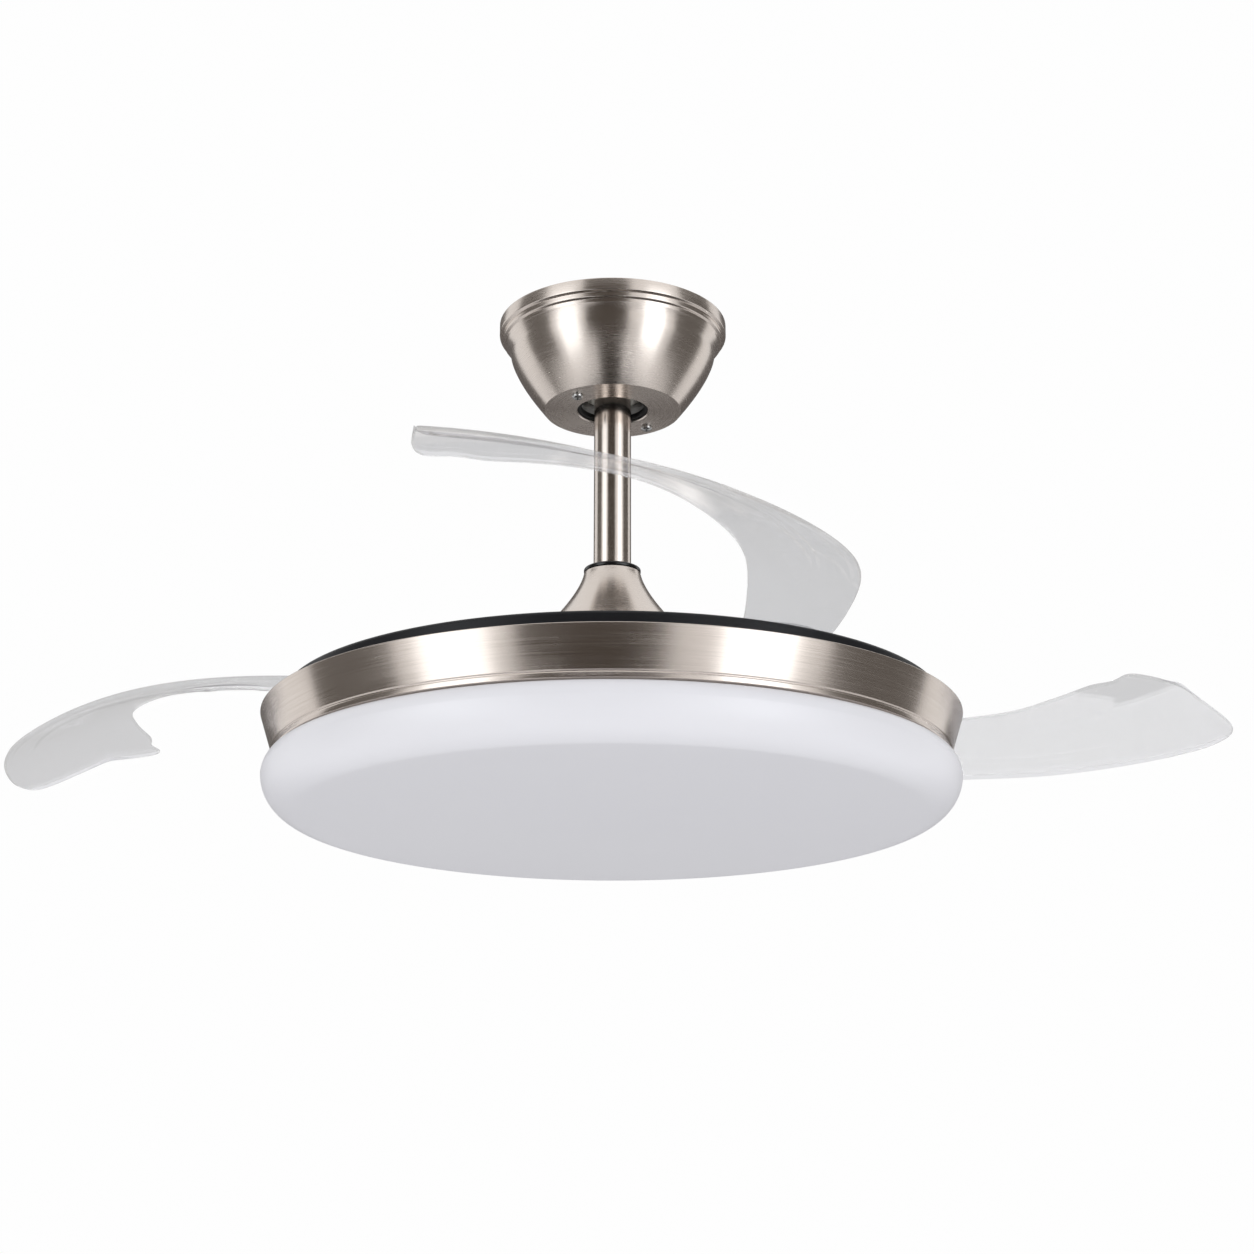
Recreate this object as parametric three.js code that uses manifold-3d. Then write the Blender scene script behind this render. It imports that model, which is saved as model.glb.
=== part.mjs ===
// Retractable blade ceiling fan with a light. It hangs from a ball in a ceiling bracket. A canopy bowl hides
// the bracket and a tube carries the motor. The black blade plate turns on top with three clear sickle
// blades that swing out from pivots near its rim. A metal ring with an opal diffuser hangs still below it.
// Millimetres, +Z up. The origin is where the fan's axis meets the ceiling, so everything lies below z = 0.
import * as THREE from 'three';
import { mergeVertices } from 'three/addons/utils/BufferGeometryUtils.js';
import Module from 'manifold-3d';

const wasm = await Module();
wasm.setup();

// ---------------------------------------------------------------- driving dimensions

const seatGap = 0.3; // between two pieces that rest on each other
const runGap = 1.0; // between a turning piece and a still one
const ringDrop = 313.7; // from the ceiling down to the top of the metal ring

const canopyRimRadius = 85.8;
const canopyRimHeight = 9;
const canopyStep = 2.6; // each of the two steps under the rim goes in by this much
const canopyShoulderRadius = 77;
const canopyShoulderDepth = 25.7; // below the ceiling
const canopyDepth = 69.7;
const canopyFloorRadius = 51.4;
const canopyDraw = 1.38; // how late the bowl draws in on its way down
const canopyHoleRadius = 26.4;
const canopyWall = 1.5;
const ceilingGap = 1; // the rim stays clear of the ceiling
const canopyScrewCircle = 40;
const canopyScrewAngle = 50; // degrees, and its partner lies opposite
const canopyScrewRadius = 2;
const gasketWall = 3;
const gasketHeight = 4;

const bracketPlateRadius = 58;
const bracketSteel = 2.5;
const bracketLegSpan = 76; // between the outer faces of the two legs
const bracketLegWidth = 30;
const cableHoleRadius = 9;
const cableHoleOffset = 24; // one each side of the ball
const ceilingScrewCircle = 49;
const ceilingScrewHole = 2.8;

const ballRadius = 24;
const ballRise = 25.7; // the ball's centre above the canopy's bottom
const ballTop = 14; // the ball is cut flat this far above its centre
const ballBottom = 18;
const seatWall = 2;
const socketTop = 2; // the socket grips from here, below the ball's centre,
const socketBottom = 14; // down to here
const socketWall = 4.4;
const receiverLength = 76;
const receiverDepth = 24;
const receiverHeight = 19;
const receiverOffset = 34; // from the fan's axis to the middle of the receiver
const terminalLength = 34;
const terminalDepth = 20;
const terminalHeight = 12;
const terminalOffset = 32;
const crossPinRadius = 3;
const ballPinRise = 6; // the ball's cross pin above the ball's centre

const tubeRadius = 13.8;
const tubeWall = 1.6;
const tubeTopRise = 18; // the tube's end above the ball's centre
const fitGap = 0.3; // radial clearance of a tube or pin in its hole

const collarRadius = 20.9;
const collarHeight = 3.1;
const bellTop = 115; // heights from here on are above the metal ring's top
const bellTopRadius = 20.8;
const bellNeckDrop = 29.4; // the bell flares from its top down to its neck,
const bellNeckRadius = 36.6;
const bellFlare = 1.45; // power of the flare's hollow
const bellShoulderDrop = 67; // then bends over to its shoulder and hangs straight
const bellPull = 15; // height over which each end of the bend keeps its direction
const bellSkirtRadius = 58;
const bellBottom = 19;
const bellWall = 1.5;
const couplingRadius = 18.5;
const couplingBottom = 36;
const couplingFloor = 12;
const couplingPinHeight = 75;
const couplingPinReach = 4.5; // each end of the pin stands out this far

const shaftRadius = 7.5;
const shaftBore = 4.5;
const shaftTop = 47;
const shaftBottom = -54;
const bearingRadius = 17.5;
const bearingWidth = 11;
const hubWall = 4.2;
const hubLip = 2.2;
const bearingLipRadius = 12;

const rotorRadius = 90;
const rotorWall = 2.5;
const rotorTop = 5.7;
const rotorPlate = 3.5;
const rotorBottom = -24;
const lidPlate = 2.7;
const magnetThickness = 5.2;
const magnetHeight = 20;
const airGap = 0.8;
const statorHeight = 12;
const statorTop = -4;
const slotCount = 12;
const toothWidth = 9;
const coreRadius = 34;
const shoeDepth = 6;
const shoeShare = 0.8; // of the pitch that a pole shoe covers
const windingRise = 3.6;

const plateInset = 13.7; // the plate's edge stays inside the ring's top edge
const plateTop = 12;
const plateThickness = 3;
const plateSkirt = 20;
const plateHubRadius = 95;
const plateEdge = 2.5;
const plateScrewCircle = 60;
const plateScrewRadius = 2.5;
const plateScrewHead = 4.5;

const bladeCount = 3;
const pivotInset = 60.3; // from the plate's edge in to the pivots
const pivotAngle = -52.5; // degrees, first pivot, seen from above
const pivotLean = 4.5; // degrees: the pivot leans out, so a blade rises as it folds in
const pivotLeanAngle = -66.5; // degrees, the way its top leans
const pivotPinRadius = 6;
const pivotHeadRadius = 10;
const pivotHeadHeight = 2.7;
const pivotBlockRadius = 15;
const pivotBlockHeight = 12;
const leverReach = 22;
const leverWidth = 8;
const leverThickness = 3;
const leverAngle = 20; // degrees from the blade's heading at its root
const springRadius = 9.5;
const springLength = 7.7;
const leverScrewRadius = 2.4;
const leverScrewHead = 8;
const leverScrewHeadHeight = 3;
const leverScrewLength = 12;
const stopWall = 3;
const stopClear = 2.2; // the leaning stop clears the upright block by this much

const bladeHeading = -72.4; // degrees: the crease leaves the pivot this way
const bladeTurn = 103; // degrees that the crease turns over its length
const bladeLength = 430; // along the crease
const bladeRootHeight = 17;
const bladeRise = 28.9; // the crease climbs by this much
const bladePeak = 1.33; // share of the length where the crease is highest
const bladeOuterPitch = 24.3; // degrees down towards the outer edge
const bladeInnerPitch = 19.8; // degrees up towards the inner edge, in the arm
const bladeTipPitch = 5.1; // and at the tip
const bladeThickness = 3;
// Half widths of the blade: [distance along the crease, distance out from it].
const bladeOuterEdge = [
  [0, 30], [70, 33], [150, 43.4], [230, 46.7], [310, 57.1], [370, 62.9], [402, 62.7], [422, 53.6],
  [428, 22.3], [429.5, 0],
];
const bladeInnerEdge = [
  [0, 28], [70, 31.8], [150, 29.8], [220, 31.5], [280, 31.2], [330, 40.2], [376, 48.5], [402, 45],
  [426, 45.5], [432.5, 28], [429.5, 0],
];
const bladeRest = [0, 15.4, -10.8]; // degrees that each blade stands further out than the first
const bladeOutStop = 17; // degrees past the first blade's rest
const bladeInStop = -98; // folded in over the plate
const bossRadius = 30;
const bossWall = 2.5;
const bossRoof = 3;
const bossHeight = 12;
const bossHubWall = 4;
const bossRise = 3; // the boss stays clear of the plate

const ringHeight = 33.5;
const ringFlare = 10; // its top is this much wider than its bottom
const ringLap = 0.1; // its bottom edge stands out past the diffuser's rim
const ringWall = 1.5;
const ringLip = 6;
const ringFlange = 13;

const panInset = 9; // inside the ring's bottom edge
const panSteel = 1.5;
const panRim = 6;
const panDishRadius = 60;
const panDishSlope = 14;
const panDishDepth = 10;
const boardInset = 26; // inside the pan's rim
const boardClear = 18; // outside the pan's dish
const boardThickness = 1.6;
const driverLength = 104;
const driverWidth = 44;
const driverHeight = 14;
const driverOffset = 44;
const nutAcrossFlats = 24;
const nutHeight = 6;
const cableRadius = 2.2;

const diffuserRadius = 247.9;
const diffuserHeight = 36.4;
const diffuserCorner = 26;
const diffuserShoulder = 8; // how far its top rounds in
const diffuserShoulderHeight = 12;
const diffuserWall = 2.5;
const lugAngle = 6; // degrees wide
const lugThickness = 2.5;
const lugDrop = 9; // lug's top below the diffuser's rim
const clipWidth = 30;
const clipSteel = 2.5;
const clipShelf = 10;
const clipClear = 1; // between a lug's end and the clip's web

const finest = 40; // facets round the large rims
const fine = 32;
const medium = 24;
const coarse = 16;
const drill = 60; // a hole's tool reaches this far both ways

// The light sets the size of what is round it: its rim, the ring on the rim, the plate in the ring.
const diffuserRimRadius = diffuserRadius - diffuserShoulder;
const ringBottomRadius = diffuserRimRadius + ringLap;
const ringRadius = ringBottomRadius + ringFlare;
const plateRadius = ringRadius - plateInset;
const pivotCircle = plateRadius - pivotInset;
const panRadius = ringBottomRadius - panInset;
const boardOuter = panRadius - boardInset;
const boardInner = panDishRadius + panDishSlope + boardClear;
const ballDrop = canopyDepth - ballRise; // below the ceiling

// ---------------------------------------------------------------- finishes

function finish(color, roughness, metalness, extra = {}) {
  return () => new THREE.MeshStandardMaterial({ color, roughness, metalness, ...extra });
}

const brushedNickel = finish(0xb3aaa0, 0.32, 1);
const zincSteel = finish(0xc4c6c8, 0.4, 1);
const darkSteel = finish(0x6a6c70, 0.45, 1);
const whiteSteel = finish(0xe8e8e6, 0.55, 0.1);
const blackPlastic = finish(0x141416, 0.4, 0);
const blackRubber = finish(0x1a1a1b, 0.8, 0);
const greyPlastic = finish(0xd8d8d4, 0.5, 0);
const nylon = finish(0xe9e6dc, 0.5, 0);
const clearPlastic = finish(0xf2f3f8, 0.06, 0, { transparent: true, opacity: 0.35 });
const opalPlastic = finish(0xf1f1f4, 0.35, 0);
const siliconSteel = finish(0x7c7f84, 0.5, 0.8);
const copperWire = finish(0xb4683a, 0.4, 0.9);
const ferrite = finish(0x2b2b2e, 0.7, 0.1);

// ---------------------------------------------------------------- solids

const radians = THREE.MathUtils.degToRad;
const polar = (radius, angle) => [radius * Math.cos(radians(angle)), radius * Math.sin(radians(angle))];
const below = (height) => height - ringDrop; // from the ring's top to the ceiling's frame

// Leaves only positions, with shared vertices merged and no triangle without an area.
function weld(geometry) {
  geometry.deleteAttribute('normal');
  geometry.deleteAttribute('uv');
  const welded = mergeVertices(geometry, 1e-4);
  const { array } = welded.index;
  const kept = [];
  for (let i = 0; i < array.length; i += 3) {
    const [a, b, c] = [array[i], array[i + 1], array[i + 2]];
    if (a !== b && b !== c && c !== a) kept.push(a, b, c);
  }
  welded.setIndex(kept);
  return welded;
}

// Turns a profile of [radius, height] pairs about Z. It closes on itself unless it starts on the axis.
function revolve(profile, facets) {
  const points = profile.map(([radius, height]) => new THREE.Vector2(radius, height));
  if (profile[0][0] > 0) points.push(points[0].clone());
  if (THREE.ShapeUtils.area(points) < 0) points.reverse();
  return weld(new THREE.LatheGeometry(points, facets).rotateX(Math.PI / 2));
}

function cylinder(radius, bottom, top, facets = coarse) {
  const geometry = new THREE.CylinderGeometry(radius, radius, top - bottom, facets);
  return weld(geometry.rotateX(Math.PI / 2).translate(0, 0, (bottom + top) / 2));
}

function tube(inner, outer, bottom, top, facets = coarse) {
  return revolve([[inner, bottom], [outer, bottom], [outer, top], [inner, top]], facets);
}

function box(low, high) {
  const size = high.map((value, axis) => value - low[axis]);
  const middle = high.map((value, axis) => (value + low[axis]) / 2);
  return weld(new THREE.BoxGeometry(...size).translate(...middle));
}

function slab(outline, bottom, height) {
  const shape = new THREE.Shape(outline);
  const geometry = new THREE.ExtrudeGeometry(shape, { depth: height, bevelEnabled: false });
  return weld(geometry.translate(0, 0, bottom));
}

function toSolid(geometry) {
  const vertProperties = geometry.attributes.position.array;
  const triVerts = new Uint32Array(geometry.index.array);
  return new wasm.Manifold(new wasm.Mesh({ numProp: 3, vertProperties, triVerts }));
}

function toGeometry(solid) {
  const mesh = solid.getMesh();
  const geometry = new THREE.BufferGeometry();
  geometry.setAttribute('position', new THREE.BufferAttribute(new Float32Array(mesh.vertProperties), 3));
  geometry.setIndex(new THREE.BufferAttribute(new Uint32Array(mesh.triVerts), 1));
  return geometry;
}

function join(...geometries) {
  return toGeometry(geometries.map(toSolid).reduce((whole, solid) => whole.add(solid)));
}

function cut(geometry, ...tools) {
  return toGeometry(tools.map(toSolid).reduce((whole, solid) => whole.subtract(solid), toSolid(geometry)));
}

// A cross pin's hole: a cylinder along X through the axis.
function crossHole(radius, reach, height) {
  return cylinder(radius, -reach, reach).rotateY(Math.PI / 2).translate(0, 0, height);
}

// ---------------------------------------------------------------- scene graph

const fan = new THREE.Group();

function add(name, geometry, material, parent = fan) {
  geometry.computeVertexNormals();
  const mesh = new THREE.Mesh(geometry, material());
  mesh.name = name;
  parent.add(mesh);
  return mesh;
}

// ---------------------------------------------------------------- canopy and ceiling bracket

const canopyFloor = -canopyDepth + canopyWall; // inner face of the canopy's flat bottom

// The bowl below the rim steps draws in by a power of its depth; the offset gives its inner face.
function canopyBowl(offset, steps) {
  const points = [];
  const drop = canopyDepth - canopyShoulderDepth;
  const reach = canopyShoulderRadius - canopyFloorRadius;
  for (let i = 0; i <= steps; i++) {
    const share = i / steps;
    const radius = canopyShoulderRadius - reach * share ** canopyDraw - offset;
    points.push([radius, -canopyShoulderDepth - (drop - offset) * share]);
  }
  return points;
}

function canopy() {
  const rimBottom = -ceilingGap - canopyRimHeight;
  const stepRadius = canopyRimRadius - canopyStep;
  const lowRadius = stepRadius - canopyStep;
  const outside = [
    [canopyRimRadius, -ceilingGap],
    [canopyRimRadius, rimBottom],
    [stepRadius, rimBottom - 0.8],
    [stepRadius, rimBottom - 4.2],
    [lowRadius, rimBottom - 5.4],
    ...canopyBowl(0, 6),
    [canopyHoleRadius, -canopyDepth],
  ];
  const inside = [
    [canopyHoleRadius, canopyFloor],
    ...canopyBowl(canopyWall, 4).reverse(),
    [lowRadius - canopyWall, rimBottom - 5.4 + canopyWall],
    [canopyRimRadius - canopyWall - 3, rimBottom],
    [canopyRimRadius - canopyWall, -ceilingGap],
  ];
  const shell = revolve([...outside, ...inside], fine);
  const holes = [0, 180].map((turn) => {
    const [x, y] = polar(canopyScrewCircle, canopyScrewAngle + turn);
    return cylinder(canopyScrewRadius + fitGap, -canopyDepth - 5, canopyFloor + 5).translate(x, y, 0);
  });
  return cut(shell, ...holes);
}

const flangeBottom = canopyFloor + seatGap; // the bracket's flange rests on the canopy's floor
const seatOuter = ballRadius + fitGap + seatWall;
const socketRadius = seatOuter + fitGap; // spherical, inside the socket
const socketOuter = socketRadius + socketWall;
const flangeOuter = canopyScrewCircle + 6;

// Points on a sphere about the ball's centre, from one height to another, measured down from the centre.
function sphereProfile(radius, from, to, steps) {
  return Array.from({ length: steps + 1 }, (_, i) => {
    const drop = from + ((to - from) * i) / steps;
    return [Math.sqrt(radius ** 2 - drop ** 2), -ballDrop - drop];
  });
}

function ceilingBracket() {
  const plate = cylinder(bracketPlateRadius, -bracketSteel, 0, medium);
  const socket = revolve(
    [
      ...sphereProfile(socketRadius, socketTop, socketBottom, 4),
      [socketOuter - bracketSteel, -ballDrop - socketBottom],
      [socketOuter - bracketSteel, flangeBottom],
      [flangeOuter, flangeBottom],
      [flangeOuter, flangeBottom + bracketSteel],
      [socketOuter, flangeBottom + bracketSteel],
      [socketOuter, -ballDrop - socketTop],
    ],
    medium,
  );
  const legs = [-1, 1].map((side) => {
    const outer = (side * bracketLegSpan) / 2;
    const inner = outer - side * bracketSteel;
    const [low, high] = [Math.min(outer, inner), Math.max(outer, inner)];
    return box([low, -bracketLegWidth / 2, flangeBottom + 1], [high, bracketLegWidth / 2, -1]);
  });
  const holes = [0, 180].flatMap((turn) => {
    const [screwX, screwY] = polar(canopyScrewCircle, canopyScrewAngle + turn);
    const [ceilingX, ceilingY] = polar(ceilingScrewCircle, turn);
    const [cableX, cableY] = polar(cableHoleOffset, turn);
    return [
      cylinder(cableHoleRadius, -8, 8).translate(cableX, cableY, 0),
      cylinder(canopyScrewRadius + fitGap, flangeBottom - 5, flangeBottom + 8).translate(screwX, screwY, 0),
      cylinder(ceilingScrewHole, -8, 8).translate(ceilingX, ceilingY, 0),
    ];
  });
  return cut(join(plate, socket, ...legs), ...holes);
}

function canopyScrew(turn) {
  const head = [
    [0, -canopyDepth - 3.2],
    [2.4, -canopyDepth - 2.9],
    [4.2, -canopyDepth - 1.4],
    [4.2, -canopyDepth - seatGap],
    [canopyScrewRadius, -canopyDepth - seatGap],
    [canopyScrewRadius, flangeBottom + bracketSteel + 5],
    [0, flangeBottom + bracketSteel + 5],
  ];
  const slot = box([-3.2, -0.5, -canopyDepth - 5], [3.2, 0.5, -canopyDepth - 1.9]);
  return cut(revolve(head, coarse), slot).translate(...polar(canopyScrewCircle, canopyScrewAngle + turn), 0);
}

add('ceiling_bracket', ceilingBracket(), zincSteel);
add('canopy', canopy(), brushedNickel);
add(
  'canopy_gasket',
  tube(
    canopyHoleRadius - gasketWall, socketOuter - bracketSteel - 1, flangeBottom, flangeBottom + gasketHeight,
    medium,
  ),
  blackRubber,
);
add('canopy_screw_1', canopyScrew(0), zincSteel);
add('canopy_screw_2', canopyScrew(180), zincSteel);

// A box that hangs against the bracket's plate, with its middle `offset` from the fan's axis along Y.
function fixture(length, depth, height, offset) {
  const top = -bracketSteel - seatGap;
  return box([-length / 2, offset - depth / 2, top - height], [length / 2, offset + depth / 2, top]);
}

add('receiver', fixture(receiverLength, receiverDepth, receiverHeight, receiverOffset), greyPlastic);
add('terminal_block', fixture(terminalLength, terminalDepth, terminalHeight, -terminalOffset), nylon);

// ---------------------------------------------------------------- hanger ball and tube

const ballCentre = -ballDrop;
const tubeTop = ballCentre + tubeTopRise;
const couplingTop = bellTop - bellWall - seatGap;
const couplingShelf = couplingBottom + couplingFloor; // the tube stands on it
const tubeBottom = below(couplingShelf) + seatGap;

add(
  'ball_seat',
  revolve(
    [
      ...sphereProfile(seatOuter, socketTop, socketBottom - 1, 4),
      ...sphereProfile(ballRadius + fitGap, socketBottom - 1, socketTop, 4),
    ],
    medium,
  ),
  nylon,
);

function hangerBall() {
  const bore = tubeRadius + fitGap;
  const body = revolve(
    [
      [bore, ballCentre + ballTop], ...sphereProfile(ballRadius, -ballTop, ballBottom, 6),
      [bore, ballCentre - ballBottom],
    ],
    medium,
  );
  return cut(body, crossHole(crossPinRadius + fitGap, ballRadius + 5, ballCentre + ballPinRise));
}

function downTube() {
  const wall = tube(tubeRadius - tubeWall, tubeRadius, tubeBottom, tubeTop, medium);
  const reach = tubeRadius + 5;
  const upper = crossHole(crossPinRadius + fitGap, reach, ballCentre + ballPinRise);
  const lower = crossHole(crossPinRadius + fitGap, reach, below(couplingPinHeight));
  return cut(wall, upper, lower);
}

const ballPinHalf = Math.sqrt(ballRadius ** 2 - ballPinRise ** 2) - 1.5;

add('hanger_ball', hangerBall(), nylon);
add('ball_pin', crossHole(crossPinRadius, ballPinHalf, ballCentre + ballPinRise), zincSteel);
add('down_tube', downTube(), brushedNickel);
add(
  'collar',
  tube(
    tubeRadius + fitGap, collarRadius, below(bellTop) + seatGap, below(bellTop) + seatGap + collarHeight,
    medium,
  ),
  blackRubber,
);

// ---------------------------------------------------------------- bell cover and coupling

// The bell's outline: a hollow flare to the neck, a smooth bend (a cubic Bezier curve) and a straight skirt.
function bellOutline(offset) {
  const neck = bellTop - bellNeckDrop;
  const shoulder = bellTop - bellShoulderDrop;
  const flare = bellNeckRadius - bellTopRadius;
  const points = [];
  for (let i = 0; i <= 4; i++) {
    const share = i / 4;
    const radius = bellTopRadius + flare * share ** bellFlare;
    points.push([radius - offset, below(bellTop - bellNeckDrop * share)]);
  }
  const slope = (flare * bellFlare) / bellNeckDrop;
  const bend = new THREE.CubicBezierCurve(
    new THREE.Vector2(bellNeckRadius, neck),
    new THREE.Vector2(bellNeckRadius + bellPull * slope, neck - bellPull),
    new THREE.Vector2(bellSkirtRadius, shoulder + bellPull),
    new THREE.Vector2(bellSkirtRadius, shoulder),
  );
  for (const { x, y } of bend.getPoints(5).slice(1)) {
    points.push([x - offset, below(y)]);
  }
  points.push([bellSkirtRadius - offset, below(bellBottom)]);
  return points;
}

function bellCover() {
  const inside = bellOutline(bellWall).filter(([, height]) => height < below(bellTop - bellWall));
  return revolve(
    [
      [tubeRadius + fitGap, below(bellTop)],
      ...bellOutline(0),
      ...inside.reverse(),
      [inside.at(-1)[0], below(bellTop - bellWall)],
      [tubeRadius + fitGap, below(bellTop - bellWall)],
    ],
    fine,
  );
}

function coupling() {
  const bore = tubeRadius + fitGap;
  const neck = shaftRadius + fitGap;
  const body = revolve(
    [
      [neck, below(couplingBottom)],
      [couplingRadius, below(couplingBottom)],
      [couplingRadius, below(couplingTop)],
      [bore, below(couplingTop)],
      [bore, below(couplingShelf)],
      [neck, below(couplingShelf)],
    ],
    medium,
  );
  return cut(body, crossHole(crossPinRadius + fitGap, couplingRadius + 5, below(couplingPinHeight)));
}

const couplingPinHalf = couplingRadius + couplingPinReach;

function couplingPin() {
  const head = cylinder(crossPinRadius + 2, couplingPinHalf - 2.5, couplingPinHalf).rotateY(Math.PI / 2);
  const hole = cylinder(1.1, -8, 8).rotateX(Math.PI / 2).translate(-couplingPinHalf + 2, 0, 0);
  const pin = cut(join(crossHole(crossPinRadius, couplingPinHalf, 0), head), hole);
  return pin.translate(0, 0, below(couplingPinHeight));
}

function cotterPin() {
  const across = [[-7, 0], [-4, 0], [0, 0], [4, 0], [6.5, 2], [5, 5], [-6, 5.5]];
  const outline = across.map(([y, z]) => new THREE.Vector3(0, y, z));
  const path = new THREE.CatmullRomCurve3(outline);
  const section = new THREE.Shape().absarc(0, 0, 0.6, 0, 2 * Math.PI);
  const wire = new THREE.ExtrudeGeometry(section, { steps: 14, curveSegments: 3, extrudePath: path });
  return weld(wire.translate(-couplingPinHalf + 2, 0, below(couplingPinHeight)));
}

add('bell_cover', bellCover(), brushedNickel);
add('coupling', coupling(), darkSteel);
add('coupling_pin', couplingPin(), zincSteel);
add('cotter_pin', cotterPin(), zincSteel);

// ---------------------------------------------------------------- motor

const shaftFit = shaftRadius + seatGap;
const hubInner = bearingRadius + seatGap;
const hubOuter = hubInner + hubWall;
const rotorInside = rotorTop - rotorPlate;
const upperBearingBottom = rotorInside + seatGap;
const upperBearingTop = upperBearingBottom + bearingWidth;
const lidTop = rotorBottom - seatGap;
const lidBottom = lidTop - lidPlate;
const lowerBearingTop = lidBottom;
const lowerBearingBottom = lowerBearingTop - bearingWidth;
const magnetOuter = rotorRadius - rotorWall - seatGap;
const statorRadius = magnetOuter - magnetThickness - airGap;
const statorBottom = statorTop - statorHeight;
const shellHubTop = upperBearingTop + seatGap + hubLip;

function bearing(bottom) {
  const middle = (shaftFit + bearingRadius) / 2;
  const top = bottom + bearingWidth;
  const profile = [
    [shaftFit, below(bottom)], [middle - 2, below(bottom)], [middle - 1.5, below(bottom + 0.6)],
    [middle + 1.5, below(bottom + 0.6)], [middle + 2, below(bottom)], [bearingRadius, below(bottom)],
    [bearingRadius, below(top)], [middle + 2, below(top)], [middle + 1.5, below(top - 0.6)],
    [middle - 1.5, below(top - 0.6)], [middle - 2, below(top)], [shaftFit, below(top)],
  ];
  return revolve(profile, coarse);
}

function rotorShell() {
  const inside = rotorRadius - rotorWall;
  const body = revolve(
    [
      [bearingLipRadius, below(upperBearingTop + seatGap)], [bearingLipRadius, below(shellHubTop)],
      [hubOuter, below(shellHubTop)], [hubOuter, below(rotorTop)], [rotorRadius - 2, below(rotorTop)],
      [rotorRadius, below(rotorTop - 2)], [rotorRadius, below(rotorBottom)], [inside, below(rotorBottom)],
      [inside, below(rotorInside)], [hubInner, below(rotorInside)],
      [hubInner, below(upperBearingTop + seatGap)],
    ],
    fine,
  );
  return cut(body, ...plateScrewHoles());
}

function rotorLid() {
  const hubBottom = lowerBearingBottom - seatGap - hubLip;
  return revolve(
    [
      [bearingLipRadius, below(hubBottom)], [hubOuter, below(hubBottom)], [hubOuter, below(lidBottom)],
      [rotorRadius, below(lidBottom)], [rotorRadius, below(lidTop)], [hubInner, below(lidTop)],
      [hubInner, below(lowerBearingBottom - seatGap)],
      [bearingLipRadius, below(lowerBearingBottom - seatGap)],
    ],
    fine,
  );
}

// Stator plan: a core with teeth, each ending in a pole shoe.
function statorCore() {
  const outline = [];
  const pitch = 360 / slotCount;
  const shoeHalf = (pitch * shoeShare) / 2;
  const neck = statorRadius - shoeDepth;
  const half = toothWidth / 2;
  for (let i = 0; i < slotCount; i++) {
    const rootHalf = THREE.MathUtils.radToDeg(Math.asin(half / coreRadius));
    const neckHalf = THREE.MathUtils.radToDeg(Math.asin(half / neck));
    const stations = [
      [coreRadius, -rootHalf], [neck, -neckHalf], [neck + shoeDepth / 2, -shoeHalf],
      [statorRadius, -shoeHalf],
      [statorRadius, shoeHalf], [neck + shoeDepth / 2, shoeHalf], [neck, neckHalf], [coreRadius, rootHalf],
    ];
    for (const [radius, angle] of stations) {
      outline.push(new THREE.Vector2(...polar(radius, i * pitch + angle)));
    }
  }
  const blank = slab(outline, below(statorBottom), statorHeight);
  return cut(blank, cylinder(shaftFit, below(statorBottom) - 5, below(statorTop) + 5));
}

// The winding: a ring of copper above and below the teeth, joined through the slots.
function statorWinding() {
  const inner = coreRadius + 3;
  const outer = statorRadius - shoeDepth - 4;
  const upper = tube(inner, outer, below(statorTop + seatGap), below(statorTop + windingRise), medium);
  const lower = tube(inner, outer, below(statorBottom - windingRise), below(statorBottom - seatGap), medium);
  const pitch = 360 / slotCount;
  const bars = Array.from({ length: slotCount }, (_, i) => {
    const bar = box(
      [inner + 1, -toothWidth / 3, below(statorBottom - windingRise / 2)],
      [outer - 1, toothWidth / 3, below(statorTop + windingRise / 2)],
    );
    return bar.rotateZ(radians((i + 0.5) * pitch));
  });
  return join(upper, lower, ...bars);
}

function plateScrewHoles() {
  return Array.from({ length: bladeCount }, (_, i) => {
    const [x, y] = polar(plateScrewCircle, (i * 360) / bladeCount);
    const hole = cylinder(plateScrewRadius + fitGap, below(rotorInside - 5), below(plateTop + 5), 12);
    return hole.translate(x, y, 0);
  });
}

function plateScrew(index) {
  const head = [
    [0, below(rotorInside - 0.5)],
    [plateScrewRadius, below(rotorInside - 0.5)],
    [plateScrewRadius, below(plateTop + seatGap)],
    [plateScrewHead, below(plateTop + seatGap)],
    [plateScrewHead, below(plateTop + 2.2)],
    [plateScrewHead - 1.5, below(plateTop + 3)],
    [0, below(plateTop + 3)],
  ];
  return revolve(head, 12).translate(...polar(plateScrewCircle, (index * 360) / bladeCount), 0);
}

add('motor_shaft', tube(shaftBore, shaftRadius, below(shaftBottom), below(shaftTop), 20), darkSteel);
add('upper_bearing', bearing(upperBearingBottom), darkSteel);
add('lower_bearing', bearing(lowerBearingBottom), darkSteel);
add('rotor_shell', rotorShell(), siliconSteel);
add('rotor_lid', rotorLid(), siliconSteel);
add(
  'magnet_ring',
  tube(
    magnetOuter - magnetThickness, magnetOuter, below(rotorInside - seatGap - magnetHeight),
    below(rotorInside - seatGap), fine,
  ),
  ferrite,
);
add('stator_core', statorCore(), siliconSteel);
add('stator_winding', statorWinding(), copperWire);

// ---------------------------------------------------------------- blade plate and blade pivots

const [pivotX, pivotY] = polar(pivotCircle, pivotAngle);
const leanAxis = new THREE.Vector3(...polar(1, pivotLeanAngle + 90), 0);
const lean = new THREE.Quaternion().setFromAxisAngle(leanAxis, radians(pivotLean));

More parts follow.
